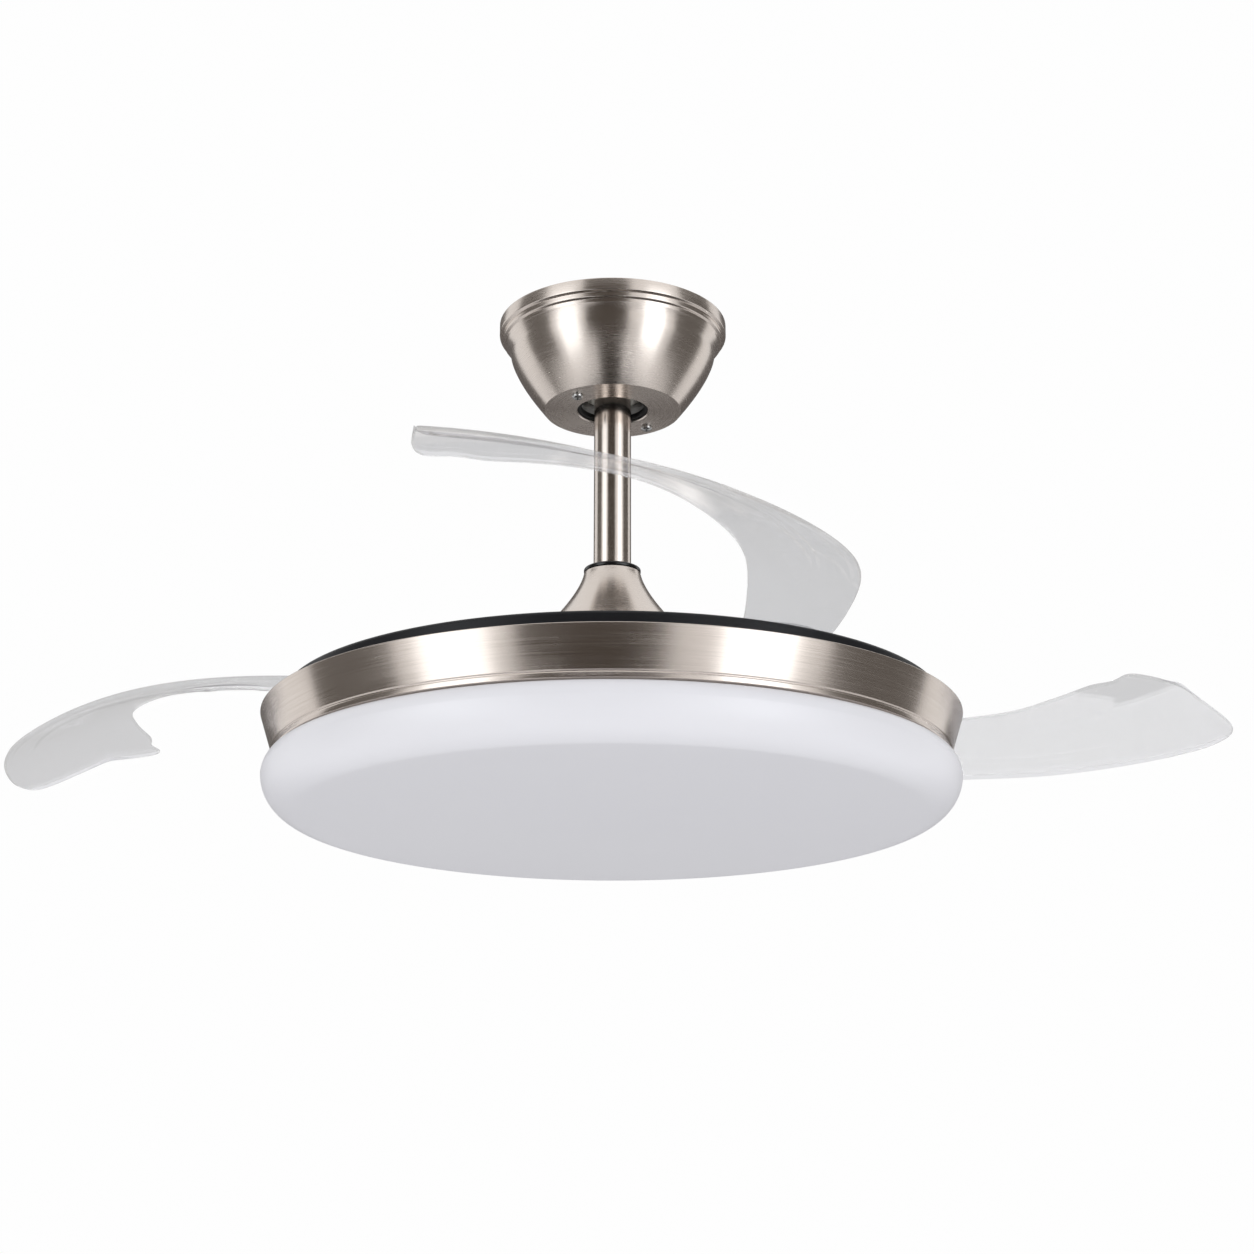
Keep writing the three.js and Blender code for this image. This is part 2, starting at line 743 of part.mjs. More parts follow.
// Heights along a pivot are measured from the plate's top face, up the leaning pin.
const blockTop = -plateThickness - seatGap;
const blockBottom = blockTop - pivotBlockHeight;
const springTop = blockBottom - seatGap;
const springBottom = springTop - springLength;
const leverTop = springBottom - seatGap;
const leverBottom = leverTop - leverThickness;
const bossTop = bossRise + bossHeight;
const pinBore = pivotPinRadius + fitGap;

// A frame for each pivot: turned about the fan's axis, moved to the pivot, leaned, and swung by `swing`
// degrees.
function pivotFrame(index, swing) {
  const turned = new THREE.Group();
  turned.rotation.z = radians((-index * 360) / bladeCount);
  const leaned = new THREE.Group();
  leaned.position.set(pivotX, pivotY, below(plateTop));
  const swung = new THREE.Quaternion().setFromAxisAngle(new THREE.Vector3(0, 0, 1), radians(swing));
  leaned.quaternion.copy(lean).multiply(swung);
  turned.add(leaned);
  fan.add(turned);
  return leaned;
}

// Moves a solid made in the pivot's own frame to the first pivot.
function toPivot(geometry) {
  return geometry.applyQuaternion(lean).translate(pivotX, pivotY, below(plateTop));
}

function bladePlate() {
  const inner = hubOuter + fitGap;
  const skirtInner = plateRadius - plateThickness;
  const skirtBottom = plateTop - plateSkirt;
  const underside = plateTop - plateThickness;
  const body = revolve(
    [
      [inner, below(rotorTop + seatGap)], [plateHubRadius, below(rotorTop + seatGap)],
      [plateHubRadius, below(underside)], [skirtInner - 2, below(underside)],
      [skirtInner, below(underside - 2)],
      [skirtInner, below(skirtBottom)], [plateRadius, below(skirtBottom)],
      [plateRadius, below(plateTop - plateEdge)],
      [plateRadius - plateEdge, below(plateTop)], [inner, below(plateTop)],
    ],
    finest,
  );
  const pinHoles = Array.from({ length: bladeCount }, (_, i) => {
    const hole = toPivot(cylinder(pivotPinRadius + 2 * runGap, -drill, drill));
    return hole.rotateZ(radians((-i * 360) / bladeCount));
  });
  return cut(body, ...pinHoles, ...plateScrewHoles());
}

// The bearing block under the plate: a flat top against the plate and a leaning bore for the pin.
function pivotBlock() {
  const top = below(plateTop - plateThickness) - seatGap;
  const standing = cylinder(pivotBlockRadius, top - pivotBlockHeight + 2, top, medium);
  const block = standing.translate(pivotX, pivotY, 0);
  return cut(block, toPivot(cylinder(pinBore, -drill, drill)));
}

function pivotPin() {
  const shank = leverBottom + leverThickness + 0.5;
  const body = revolve(
    [
      [0, shank], [pivotPinRadius, shank], [pivotPinRadius, bossTop + seatGap],
      [pivotHeadRadius, bossTop + seatGap],
      [pivotHeadRadius, bossTop + seatGap + pivotHeadHeight - 1],
      [pivotHeadRadius - 1, bossTop + seatGap + pivotHeadHeight], [0, bossTop + seatGap + pivotHeadHeight],
    ],
    coarse,
  );
  return cut(body, cylinder(leverScrewRadius + fitGap, shank - 5, leverTop + leverScrewLength, 12));
}

function springLever() {
  const half = leverWidth / 2;
  const hub = springRadius;
  const arm = box([0, -half, leverBottom], [leverReach, half, leverTop]);
  const plate = join(cylinder(hub, leverBottom, leverTop), arm);
  return cut(plate, cylinder(leverScrewRadius + fitGap, leverBottom - 5, leverTop + 5, 12));
}

function leverScrew() {
  const top = leverBottom - seatGap;
  return revolve(
    [
      [0, top - leverScrewHeadHeight], [leverScrewHead - 1, top - leverScrewHeadHeight],
      [leverScrewHead, top - leverScrewHeadHeight + 1], [leverScrewHead, top], [leverScrewRadius, top],
      [leverScrewRadius, top + leverScrewLength], [0, top + leverScrewLength],
    ],
    12,
  );
}

// The stop: part of a tube round the pin, under the plate, whose two ends catch the lever's arm.
function swingStop() {
  const inner = pivotBlockRadius + stopClear;
  const outer = inner + stopWall;
  const margin = THREE.MathUtils.radToDeg(Math.asin((leverWidth / 2 + seatGap) / inner)) + 1;
  const from = radians(leverDirection + bladeOutStop + margin);
  const to = radians(leverDirection + bladeInStop - margin + 360);
  const steps = 14;
  const arc = (radius, start, end) =>
    Array.from({ length: steps + 1 }, (_, i) => {
      const angle = start + ((end - start) * i) / steps;
      return new THREE.Vector2(radius * Math.cos(angle), radius * Math.sin(angle));
    });
  const rise = outer * Math.sin(radians(pivotLean));
  const sector = [...arc(outer, from, to), ...arc(inner, to, from)];
  return slab(sector, leverBottom, blockTop - rise - leverBottom);
}

const leverDirection = bladeHeading + leverAngle;

// ---------------------------------------------------------------- blades

const blend = (from, to, value) => THREE.MathUtils.smoothstep(value, from, to);

// A point of the blade: `along` its crease and `out` from it (towards the outer edge is positive).
function bladePoint(along, out) {
  const share = along / bladeLength;
  const radius = bladeLength / radians(bladeTurn);
  const start = radians(bladeHeading);
  const heading = start - along / radius;
  const centreX = pivotX + radius * Math.sin(start);
  const centreY = pivotY - radius * Math.cos(start);
  const reach = radius + out;
  const crease = bladeRootHeight + bladeRise * (1 - ((share - bladePeak) / bladePeak) ** 2);
  const outerPitch = bladeOuterPitch * blend(0, 0.66, share);
  const armToTip = THREE.MathUtils.lerp(bladeInnerPitch, bladeTipPitch, blend(0.5, 1, share));
  const innerPitch = blend(0, 0.3, share) * armToTip;
  const height = crease - out * Math.tan(radians(out > 0 ? outerPitch : innerPitch));
  return [centreX - reach * Math.sin(heading), centreY + reach * Math.cos(heading), below(height)];
}

// The blade's sheet: rows of points from the outer edge over the crease to the inner edge, above and below.
function bladeSheet() {
  const rows = 22;
  const outerCells = 3;
  const innerCells = 2;
  const columns = outerCells + innerCells;
  const outer = new THREE.SplineCurve(bladeOuterEdge.map(([along, out]) => new THREE.Vector2(along, out)));
  const inner = new THREE.SplineCurve(bladeInnerEdge.map(([along, out]) => new THREE.Vector2(along, -out)));
  const sides = [[], []];
  for (let i = 0; i <= rows; i++) {
    const edgeOut = outer.getPoint(i / rows);
    const edgeIn = inner.getPoint(i / rows);
    const crease = new THREE.Vector2((edgeOut.x + edgeIn.x) / 2, 0);
    for (let j = 0; j <= columns; j++) {
      const inPlan = j <= outerCells
        ? edgeOut.clone().lerp(crease, j / outerCells)
        : crease.clone().lerp(edgeIn, (j - outerCells) / innerCells);
      const [x, y, z] = bladePoint(inPlan.x, inPlan.y);
      sides[0].push(x, y, z + bladeThickness / 2);
      sides[1].push(x, y, z - bladeThickness / 2);
    }
  }
  const half = (rows + 1) * (columns + 1);
  const at = (side, i, j) => side * half + i * (columns + 1) + j;
  const index = [];
  const quad = (a, b, c, d) => index.push(a, b, c, a, c, d);
  for (let i = 0; i < rows; i++) {
    for (let j = 0; j < columns; j++) {
      quad(at(0, i, j), at(0, i, j + 1), at(0, i + 1, j + 1), at(0, i + 1, j));
      quad(at(1, i, j), at(1, i + 1, j), at(1, i + 1, j + 1), at(1, i, j + 1));
    }
    quad(at(0, i, 0), at(0, i + 1, 0), at(1, i + 1, 0), at(1, i, 0));
    quad(at(0, i, columns), at(1, i, columns), at(1, i + 1, columns), at(0, i + 1, columns));
  }
  for (let j = 0; j < columns; j++) quad(at(0, 0, j), at(1, 0, j), at(1, 0, j + 1), at(0, 0, j + 1));
  const geometry = new THREE.BufferGeometry();
  geometry.setAttribute('position', new THREE.Float32BufferAttribute([...sides[0], ...sides[1]], 3));
  geometry.setIndex(index);
  const welded = weld(geometry);
  if (toSolid(welded).volume() < 0) welded.index.array.reverse();
  return welded;
}

// The root boss: an upturned cup round the pivot pin, with a hub for the pin.
function bladeBoss() {
  const hub = pinBore + bossHubWall;
  const roof = bossTop - bossRoof;
  return revolve(
    [
      [pinBore, bossRise], [hub, bossRise], [hub, roof], [bossRadius - bossWall, roof],
      [bossRadius - bossWall, bossRise], [bossRadius, bossRise], [bossRadius, bossTop - 1.5],
      [bossRadius - 1.5, bossTop], [pinBore, bossTop],
    ],
    medium,
  );
}

// The blade in its pivot's frame.
function blade() {
  const flat = bladeSheet().translate(-pivotX, -pivotY, -below(plateTop));
  const sheet = flat.applyQuaternion(lean.clone().invert());
  const cavity = cylinder(bossRadius - bossWall / 2, -drill, bossTop - bossRoof / 2, medium);
  const bore = cylinder(pinBore, -drill, drill, 20);
  return cut(join(cut(sheet, cavity), bladeBoss()), bore);
}

add('blade_plate', bladePlate(), blackPlastic);
for (let i = 0; i < bladeCount; i++) {
  const number = i + 1;
  const turn = radians((-i * 360) / bladeCount);
  const still = pivotFrame(i, 0);
  const moving = pivotFrame(i, bladeRest[i]);
  const lever = springLever().rotateZ(radians(leverDirection));
  add(`plate_screw_${number}`, plateScrew(i), zincSteel);
  add(`pivot_block_${number}`, pivotBlock().rotateZ(turn), nylon);
  add(`swing_stop_${number}`, swingStop(), blackRubber, still);
  const spring = tube(pinBore + 0.4, springRadius, springBottom, springTop);
  add(`return_spring_${number}`, spring, darkSteel, still);
  add(`pivot_pin_${number}`, pivotPin(), zincSteel, moving);
  add(`spring_lever_${number}`, lever, zincSteel, moving);
  add(`lever_screw_${number}`, leverScrew(), zincSteel, moving);
  add(`blade_${number}`, blade(), clearPlastic, moving);
}

// ---------------------------------------------------------------- light

const flangeTop = -ringHeight + ringWall;
const panTop = -ringHeight - seatGap;
const panBottom = panTop - panSteel;
const dishTop = panTop - panDishDepth;
const dishBottom = dishTop - panSteel;
const diffuserTop = -ringHeight - 2 * seatGap;
const diffuserBottom = diffuserTop - diffuserHeight;

function trimRing() {
  const flangeInner = ringBottomRadius - ringFlange;
  const lipRadius = ringBottomRadius + 1.4;
  return revolve(
    [
      [ringRadius - ringWall, 0], [ringRadius - 0.4, 0], [ringRadius, -0.6],
      [lipRadius, -ringHeight + ringLip], [lipRadius - 1.1, -ringHeight + ringLip - 0.7],
      [ringBottomRadius + 1, -ringHeight + ringLip - 1.6], [ringBottomRadius + 0.8, -ringHeight + 0.9],
      [ringBottomRadius, -ringHeight], [flangeInner, -ringHeight], [flangeInner, flangeTop],
      [ringBottomRadius - ringWall, flangeTop], [lipRadius - ringWall, -ringHeight + ringLip],
    ].map(([radius, height]) => [radius, below(height)]),
    finest,
  );
}

function lightPan() {
  const rimInner = panRadius - panSteel;
  const wellTop = panDishRadius + panDishSlope;
  return revolve(
    [
      [shaftFit, dishBottom], [panDishRadius, dishBottom], [wellTop, panBottom], [rimInner, panBottom],
      [rimInner, panTop - panRim], [panRadius, panTop - panRim], [panRadius, panTop],
      [wellTop + panSteel, panTop],
      [panDishRadius + panSteel, dishTop], [shaftFit, dishTop],
    ].map(([radius, height]) => [radius, below(height)]),
    finest,
  );
}

function shaftNut() {
  const corner = nutAcrossFlats / Math.sqrt(3);
  const outline = Array.from({ length: 6 }, (_, i) => new THREE.Vector2(...polar(corner, i * 60)));
  const nut = slab(outline, below(dishBottom) - seatGap - nutHeight, nutHeight);
  return cut(nut, cylinder(shaftFit, below(dishBottom) - 20, below(dishBottom), 20));
}

// The supply cable: down one side of the tube past the cross pins, through the hollow shaft, to the driver.
function supplyCable() {
  const side = tubeRadius - tubeWall - cableRadius - 2.5;
  const driverFace = driverOffset - driverWidth / 2 - seatGap;
  const bend = below(shaftBottom) - cableRadius - 2.8;
  const route = [
    [0, side, tubeTop + 3], [0, side, (tubeTop + tubeBottom) / 2], [0, side, below(couplingPinHeight + 40)],
    [0, side, below(couplingPinHeight + 11)], [0, side - 0.2, below(couplingPinHeight - 3)],
    [0, side / 2, below(couplingShelf + 13)], [0, 0.3, below(couplingShelf + 3)],
    [0, 0, below(couplingBottom + 2)],
    [0, 0, below(0)], [0, 0, below(shaftBottom + 18)], [0, 0, below(shaftBottom + 3)],
    [0, 3.2, bend + 1.5], [0, 10, bend], [0, driverFace, bend],
  ].map((point) => new THREE.Vector3(...point));
  const section = new THREE.Shape().absarc(0, 0, cableRadius, 0, 2 * Math.PI);
  const path = new THREE.CatmullRomCurve3(route, false, 'centripetal');
  return weld(new THREE.ExtrudeGeometry(section, { steps: 36, curveSegments: 3, extrudePath: path }));
}

// The opal bowl: rounded side, flat bottom, and three lugs inside its rim.
function diffuserProfile(offset) {
  const points = [[0, diffuserBottom + offset]];
  const centreRadius = diffuserRadius - diffuserCorner;
  const centreHeight = diffuserBottom + diffuserCorner;
  for (let i = 0; i <= 5; i++) {
    const angle = (i / 5) * (Math.PI / 2);
    points.push([
      centreRadius + (diffuserCorner - offset) * Math.sin(angle),
      centreHeight - (diffuserCorner - offset) * Math.cos(angle),
    ]);
  }
  const shoulder = diffuserTop - diffuserShoulderHeight;
  for (let i = 1; i <= 2; i++) {
    const angle = (i / 2) * (Math.PI / 2);
    points.push([
      diffuserRadius - offset - diffuserShoulder * (1 - Math.cos(angle)),
      shoulder + diffuserShoulderHeight * Math.sin(angle),
    ]);
  }
  return points.map(([radius, height]) => [radius, below(height)]);
}

const lugTop = diffuserTop - lugDrop;
const lugBottom = lugTop - lugThickness;
const lugInner = panRadius - clipShelf + clipClear;

function diffuser() {
  const bowl = revolve([...diffuserProfile(0), ...diffuserProfile(diffuserWall).reverse()], finest);
  const outer = diffuserRadius - diffuserWall / 2;
  const lugs = Array.from({ length: bladeCount }, (_, i) => {
    const half = lugInner * Math.sin(radians(lugAngle / 2));
    const lug = box([lugInner, -half, below(lugBottom)], [outer - 0.5, half, below(lugTop)]);
    return lug.rotateZ(radians((i * 360) / bladeCount));
  });
  return join(bowl, ...lugs);
}

// A clip under the pan: a web down from the pan and a shelf outwards under the lug.
function diffuserClip() {
  const shelfTop = lugBottom - seatGap;
  const shelfBottom = shelfTop - clipSteel;
  const inner = panRadius - clipShelf - clipSteel;
  const outline = [
    [inner, below(shelfBottom)], [panRadius - 1, below(shelfBottom)], [panRadius - 1, below(shelfTop)],
    [inner + clipSteel, below(shelfTop)], [inner + clipSteel, below(panBottom) - seatGap],
    [inner, below(panBottom) - seatGap],
  ].map(([x, z]) => new THREE.Vector2(x, z));
  return slab(outline, -clipWidth / 2, clipWidth).rotateX(Math.PI / 2);
}

add('trim_ring', trimRing(), brushedNickel);
add('light_pan', lightPan(), whiteSteel);
add('shaft_nut', shaftNut(), zincSteel);
add(
  'led_board',
  tube(
    boardInner, boardOuter, below(panBottom) - seatGap - boardThickness, below(panBottom) - seatGap, fine,
  ),
  whiteSteel,
);
add(
  'led_driver',
  box(
    [-driverLength / 2, driverOffset - driverWidth / 2, below(dishBottom) - seatGap - driverHeight],
    [driverLength / 2, driverOffset + driverWidth / 2, below(dishBottom) - seatGap],
  ),
  greyPlastic,
);
add('supply_cable', supplyCable(), greyPlastic);
for (let i = 0; i < bladeCount; i++) {
  add(`diffuser_clip_${i + 1}`, diffuserClip().rotateZ(radians((i * 360) / bladeCount)), zincSteel);
}
add('diffuser', diffuser(), opalPlastic);

export default fan;
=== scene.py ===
import math

import bmesh
import bpy
import numpy as np
from mathutils import Matrix, Vector


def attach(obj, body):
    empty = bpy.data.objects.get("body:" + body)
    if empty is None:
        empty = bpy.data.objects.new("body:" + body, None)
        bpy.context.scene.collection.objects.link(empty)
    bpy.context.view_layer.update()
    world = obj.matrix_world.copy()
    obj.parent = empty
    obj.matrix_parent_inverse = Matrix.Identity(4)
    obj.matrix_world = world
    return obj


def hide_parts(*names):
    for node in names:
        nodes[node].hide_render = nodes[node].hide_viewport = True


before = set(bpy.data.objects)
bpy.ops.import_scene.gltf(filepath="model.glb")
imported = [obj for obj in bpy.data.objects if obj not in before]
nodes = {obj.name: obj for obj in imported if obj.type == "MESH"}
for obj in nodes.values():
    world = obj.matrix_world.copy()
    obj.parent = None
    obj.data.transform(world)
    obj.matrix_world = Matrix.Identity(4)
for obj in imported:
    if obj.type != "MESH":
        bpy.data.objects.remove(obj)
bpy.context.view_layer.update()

# A ceiling fan that hangs from the ceiling at z = 0: metres, +Z up. The camera looks along +Y from below.
# Every dictionary of shapes below is in millimetres and degrees.
mm = 0.001
ringTop = -313.7  # the metal ring's top edge
bladeCount = 3


# The mesh of a grid: doubled points and poles are joined, faces turned outwards, and edges that bend by more
# than an angle are marked sharp.
def finishMesh(name, points, faces, sharpAngle):
    mesh = bpy.data.meshes.new(name)
    mesh.from_pydata(points.reshape(-1, 3).tolist(), [], faces.tolist())
    work = bmesh.new()
    work.from_mesh(mesh)
    bmesh.ops.remove_doubles(work, verts=work.verts, dist=1e-6)
    bmesh.ops.dissolve_degenerate(work, dist=1e-6, edges=work.edges)
    bmesh.ops.recalc_face_normals(work, faces=work.faces)
    work.to_mesh(mesh)
    work.free()
    shadeSmooth(mesh, sharpAngle)
    return mesh


def shadeSmooth(mesh, sharpAngle):
    mesh.polygons.foreach_set("use_smooth", np.ones(len(mesh.polygons), dtype=bool))
    mesh.set_sharp_from_angle(angle=math.radians(sharpAngle))


# Four corners of each cell of a grid of points. A closed grid also joins its last row or column to the first.
def gridFaces(rows, columns, closeRows, closeColumns):
    rowCells = rows if closeRows else rows - 1
    columnCells = columns if closeColumns else columns - 1
    i, j = np.meshgrid(np.arange(rowCells), np.arange(columnCells), indexing="ij")
    i, j = i.ravel(), j.ravel()
    nextI, nextJ = (i + 1) % rows, (j + 1) % columns
    return np.stack([i * columns + j, nextI * columns + j, nextI * columns + nextJ, i * columns + nextJ], axis=1)


def addObject(name, data):
    thing = bpy.data.objects.new(name, data)
    bpy.context.scene.collection.objects.link(thing)
    return thing


# One piece from a grid of points (rows, columns, 3) in mm. It rides on a body and stands for some nodes.
def makePiece(name, points, body, replaced, material, closed=(True, True), sharpAngle=40):
    rows, columns = points.shape[:2]
    mesh = finishMesh(name, points * mm, gridFaces(rows, columns, *closed), sharpAngle)
    return placePiece(name, mesh, body, replaced, material)


def placePiece(name, mesh, body, replaced, material):
    piece = addObject(name, mesh)
    mesh.materials.clear()
    mesh.materials.append(material)
    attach(piece, body)
    if replaced:
        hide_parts(*replaced)
    return piece


# A closed outline from corners (radius, height, fillet): each fillet is an arc that touches both its sides.
def roundedOutline(corners, steps=6):
    corner = np.array([c[:2] for c in corners], dtype=float)
    fillet = np.array([c[2] if len(c) > 2 else 0.0 for c in corners], dtype=float)
    before = np.roll(corner, 1, axis=0) - corner
    after = np.roll(corner, -1, axis=0) - corner
    lengthBefore = np.linalg.norm(before, axis=1)
    lengthAfter = np.linalg.norm(after, axis=1)
    before, after = before / lengthBefore[:, None], after / lengthAfter[:, None]
    half = 0.5 * np.arccos(np.clip((before * after).sum(axis=1), -0.9999, 0.9999))
    reach = np.minimum(fillet / np.tan(half), 0.48 * np.minimum(lengthBefore, lengthAfter))
    radius = reach * np.tan(half)
    bisector = before + after
    bisector /= np.linalg.norm(bisector, axis=1)[:, None] + 1e-12
    centre = corner + bisector * (radius / np.sin(half))[:, None]
    start, end = corner + before * reach[:, None], corner + after * reach[:, None]
    t = np.linspace(0, 1, steps)[None, :, None]
    arm = (start - centre)[:, None, :] * (1 - t) + (end - centre)[:, None, :] * t
    arm *= (radius[:, None] / (np.linalg.norm(arm, axis=2) + 1e-12))[:, :, None]
    rounded = centre[:, None, :] + arm
    return np.concatenate([rounded[k] if fillet[k] > 0 else corner[k:k + 1] for k in range(len(corner))])


# An outline of (radius, height) turned about Z: x = r cos a, y = r sin a, z = height.
def turned(outline, facets=192):
    angle = np.linspace(0, 2 * np.pi, facets, endpoint=False)
    radius, height = outline[:, 0], outline[:, 1]
    x = radius[None, :] * np.cos(angle)[:, None]
    y = radius[None, :] * np.sin(angle)[:, None]
    z = np.broadcast_to(height[None, :], x.shape)
    return np.stack([x, y, z], axis=2)


# 0 before low, 1 after high, and between them 3 s squared - 2 s cubed.
def ease(low, high, value):
    share = np.clip((value - low) / (high - low), 0, 1)
    return share * share * (3 - 2 * share)


def newGroup(name, inputs, outputs):
    group = bpy.data.node_groups.new(name, "ShaderNodeTree")
    for socketName, value in inputs:
        socket = group.interface.new_socket(name=socketName, in_out="INPUT", socket_type="NodeSocketFloat")
        socket.default_value = value
    for socketName in outputs:
        group.interface.new_socket(name=socketName, in_out="OUTPUT", socket_type="NodeSocketFloat")
    return group, group.nodes.new("NodeGroupInput"), group.nodes.new("NodeGroupOutput")


# A plain number or colour is set on the socket, and anything else is linked to it.
def feed(tree, socket, value):
    if isinstance(value, (int, float, tuple)):
        socket.default_value = value
    else:
        tree.links.new(value, socket)


def mathNode(tree, operation, *values):
    node = tree.nodes.new("ShaderNodeMath")
    node.operation = operation
    for socket, value in zip(node.inputs, values):
        feed(tree, socket, value)
    return node.outputs[0]


def mixColor(tree, factor, first, second):
    node = tree.nodes.new("ShaderNodeMix")
    node.data_type = "RGBA"
    for socket, value in zip((node.inputs[0], node.inputs[6], node.inputs[7]), (factor, first, second)):
        feed(tree, socket, value)
    return node.outputs[2]


def noiseNode(tree, vector, scale, detail, roughness=0.5):
    node = tree.nodes.new("ShaderNodeTexNoise")
    node.inputs["Detail"].default_value = detail
    node.inputs["Roughness"].default_value = roughness
    feed(tree, node.inputs["Scale"], scale)
    tree.links.new(vector, node.inputs["Vector"])
    return node.outputs["Fac"]


# Fine rings left by turning: noise of (radius x fineness, height x fineness, angle x streak), so it changes
# quickly across the rings and slowly along them. Cloud is plain slow noise.
def buildTurnedGrain():
    group, entry, leave = newGroup("turnedGrain", [("Fineness", 900.0), ("Streak", 3.0)], ["Grain", "Cloud"])
    coordinates = group.nodes.new("ShaderNodeTexCoord")
    split = group.nodes.new("ShaderNodeSeparateXYZ")
    group.links.new(coordinates.outputs["Object"], split.inputs[0])
    x, y, z = split.outputs
    squares = mathNode(group, "ADD", mathNode(group, "MULTIPLY", x, x), mathNode(group, "MULTIPLY", y, y))
    radius = mathNode(group, "SQRT", squares)
    angle = mathNode(group, "ARCTAN2", y, x)
    joined = group.nodes.new("ShaderNodeCombineXYZ")
    fineness, streak = entry.outputs[0], entry.outputs[1]
    group.links.new(mathNode(group, "MULTIPLY", radius, fineness), joined.inputs[0])
    group.links.new(mathNode(group, "MULTIPLY", z, fineness), joined.inputs[1])
    group.links.new(mathNode(group, "MULTIPLY", angle, streak), joined.inputs[2])
    group.links.new(noiseNode(group, joined.outputs[0], 1.0, 3.0, 0.6), leave.inputs["Grain"])
    group.links.new(noiseNode(group, coordinates.outputs["Object"], 22.0, 3.0), leave.inputs["Cloud"])
    return group


# Slow clouds and fine speckle: two plain noises of the object's coordinates at their own scales.
def buildSpeckle():
    group, entry, leave = newGroup("speckle", [("Cloud Scale", 8.0), ("Grain Scale", 900.0)], ["Cloud", "Grain"])
    coordinates = group.nodes.new("ShaderNodeTexCoord")
    for output, scale in (("Cloud", entry.outputs[0]), ("Grain", entry.outputs[1])):
        group.links.new(noiseNode(group, coordinates.outputs["Object"], scale, 3.0), leave.inputs[output])
    return group


turnedGrain = buildTurnedGrain()
speckle = buildSpeckle()


def newMaterial(name):
    material = bpy.data.materials.new(name)
    material.use_nodes = True
    tree = material.node_tree
    shader = next(n for n in tree.nodes if n.type == "BSDF_PRINCIPLED")
    return material, tree, shader


def useGroup(tree, group, **values):
    node = tree.nodes.new("ShaderNodeGroup")
    node.node_tree = group
    for name, value in values.items():
        node.inputs[name].default_value = value
    return node.outputs


# The middle of a noise's values, 0.3 to 0.7, is spread over low to high.
def spread(tree, value, low, high):
    node = tree.nodes.new("ShaderNodeMapRange")
    node.inputs["From Min"].default_value = 0.3
    node.inputs["From Max"].default_value = 0.7
    node.inputs["To Min"].default_value = low
    node.inputs["To Max"].default_value = high
    tree.links.new(value, node.inputs["Value"])
    return node.outputs["Result"]


def bumpFrom(tree, height, strength, distance):
    node = tree.nodes.new("ShaderNodeBump")
    node.inputs["Strength"].default_value = strength
    node.inputs["Distance"].default_value = distance
    tree.links.new(height, node.inputs["Height"])
    return node.outputs["Normal"]


# Metal brushed round its own axis: fine rings in colour, roughness and bump, and a highlight that spreads
# across the rings.
def turnedMetal(name, color, shade, roughness, fineness=900.0, bump=0.12, anisotropy=0.5):
    material, tree, shader = newMaterial(name)
    grain = useGroup(tree, turnedGrain, Fineness=fineness)
    tone = mixColor(tree, spread(tree, grain["Grain"], 0.0, 1.0), (*shade, 1), (*color, 1))
    tree.links.new(tone, shader.inputs["Base Color"])
    rough = mathNode(tree, "ADD", spread(tree, grain["Grain"], roughness - 0.03, roughness + 0.03),
                     spread(tree, grain["Cloud"], -0.03, 0.03))
    tree.links.new(rough, shader.inputs["Roughness"])
    tree.links.new(bumpFrom(tree, grain["Grain"], bump, 0.0001), shader.inputs["Normal"])
    tangent = tree.nodes.new("ShaderNodeTangent")
    tangent.direction_type = "RADIAL"
    tangent.axis = "Z"
    tree.links.new(tangent.outputs[0], shader.inputs["Tangent"])
    shader.inputs["Metallic"].default_value = 1.0
    shader.inputs["Anisotropic"].default_value = anisotropy
    shader.inputs["Anisotropic Rotation"].default_value = 0.25
    return material


# A plain finish: slow clouds between two colours, and fine speckle in roughness and bump.
def plainFinish(name, color, shade, roughness, metallic=0.0, cloudScale=8.0, grainScale=900.0, bump=0.05,
                specular=0.5):
    material, tree, shader = newMaterial(name)
    marks = useGroup(tree, speckle, **{"Cloud Scale": cloudScale, "Grain Scale": grainScale})
    tone = mixColor(tree, spread(tree, marks["Cloud"], 0.0, 1.0), (*shade, 1), (*color, 1))
    tree.links.new(tone, shader.inputs["Base Color"])
    tree.links.new(spread(tree, marks["Grain"], roughness - 0.06, roughness + 0.06), shader.inputs["Roughness"])
    tree.links.new(bumpFrom(tree, marks["Grain"], bump, 0.00005), shader.inputs["Normal"])
    shader.inputs["Metallic"].default_value = metallic
    shader.inputs["Specular IOR Level"].default_value = specular
    return material


# Clear moulded plastic: partly plain see-through, partly tinted glass with faint flow marks in its surface.
def clearFinish(name, color, ior, alpha):
    material, tree, shader = newMaterial(name)
    marks = useGroup(tree, speckle, **{"Cloud Scale": 14.0, "Grain Scale": 260.0})
    faint = tuple(0.985 * c for c in color) + (1,)
    tone = mixColor(tree, spread(tree, marks["Cloud"], 0.0, 1.0), faint, (*color, 1))
    tree.links.new(tone, shader.inputs["Base Color"])
    tree.links.new(spread(tree, marks["Grain"], 0.015, 0.05), shader.inputs["Roughness"])
    tree.links.new(bumpFrom(tree, marks["Cloud"], 0.08, 0.0006), shader.inputs["Normal"])
    shader.inputs["Transmission Weight"].default_value = 1.0
    shader.inputs["IOR"].default_value = ior
    shader.inputs["Alpha"].default_value = alpha
    return material


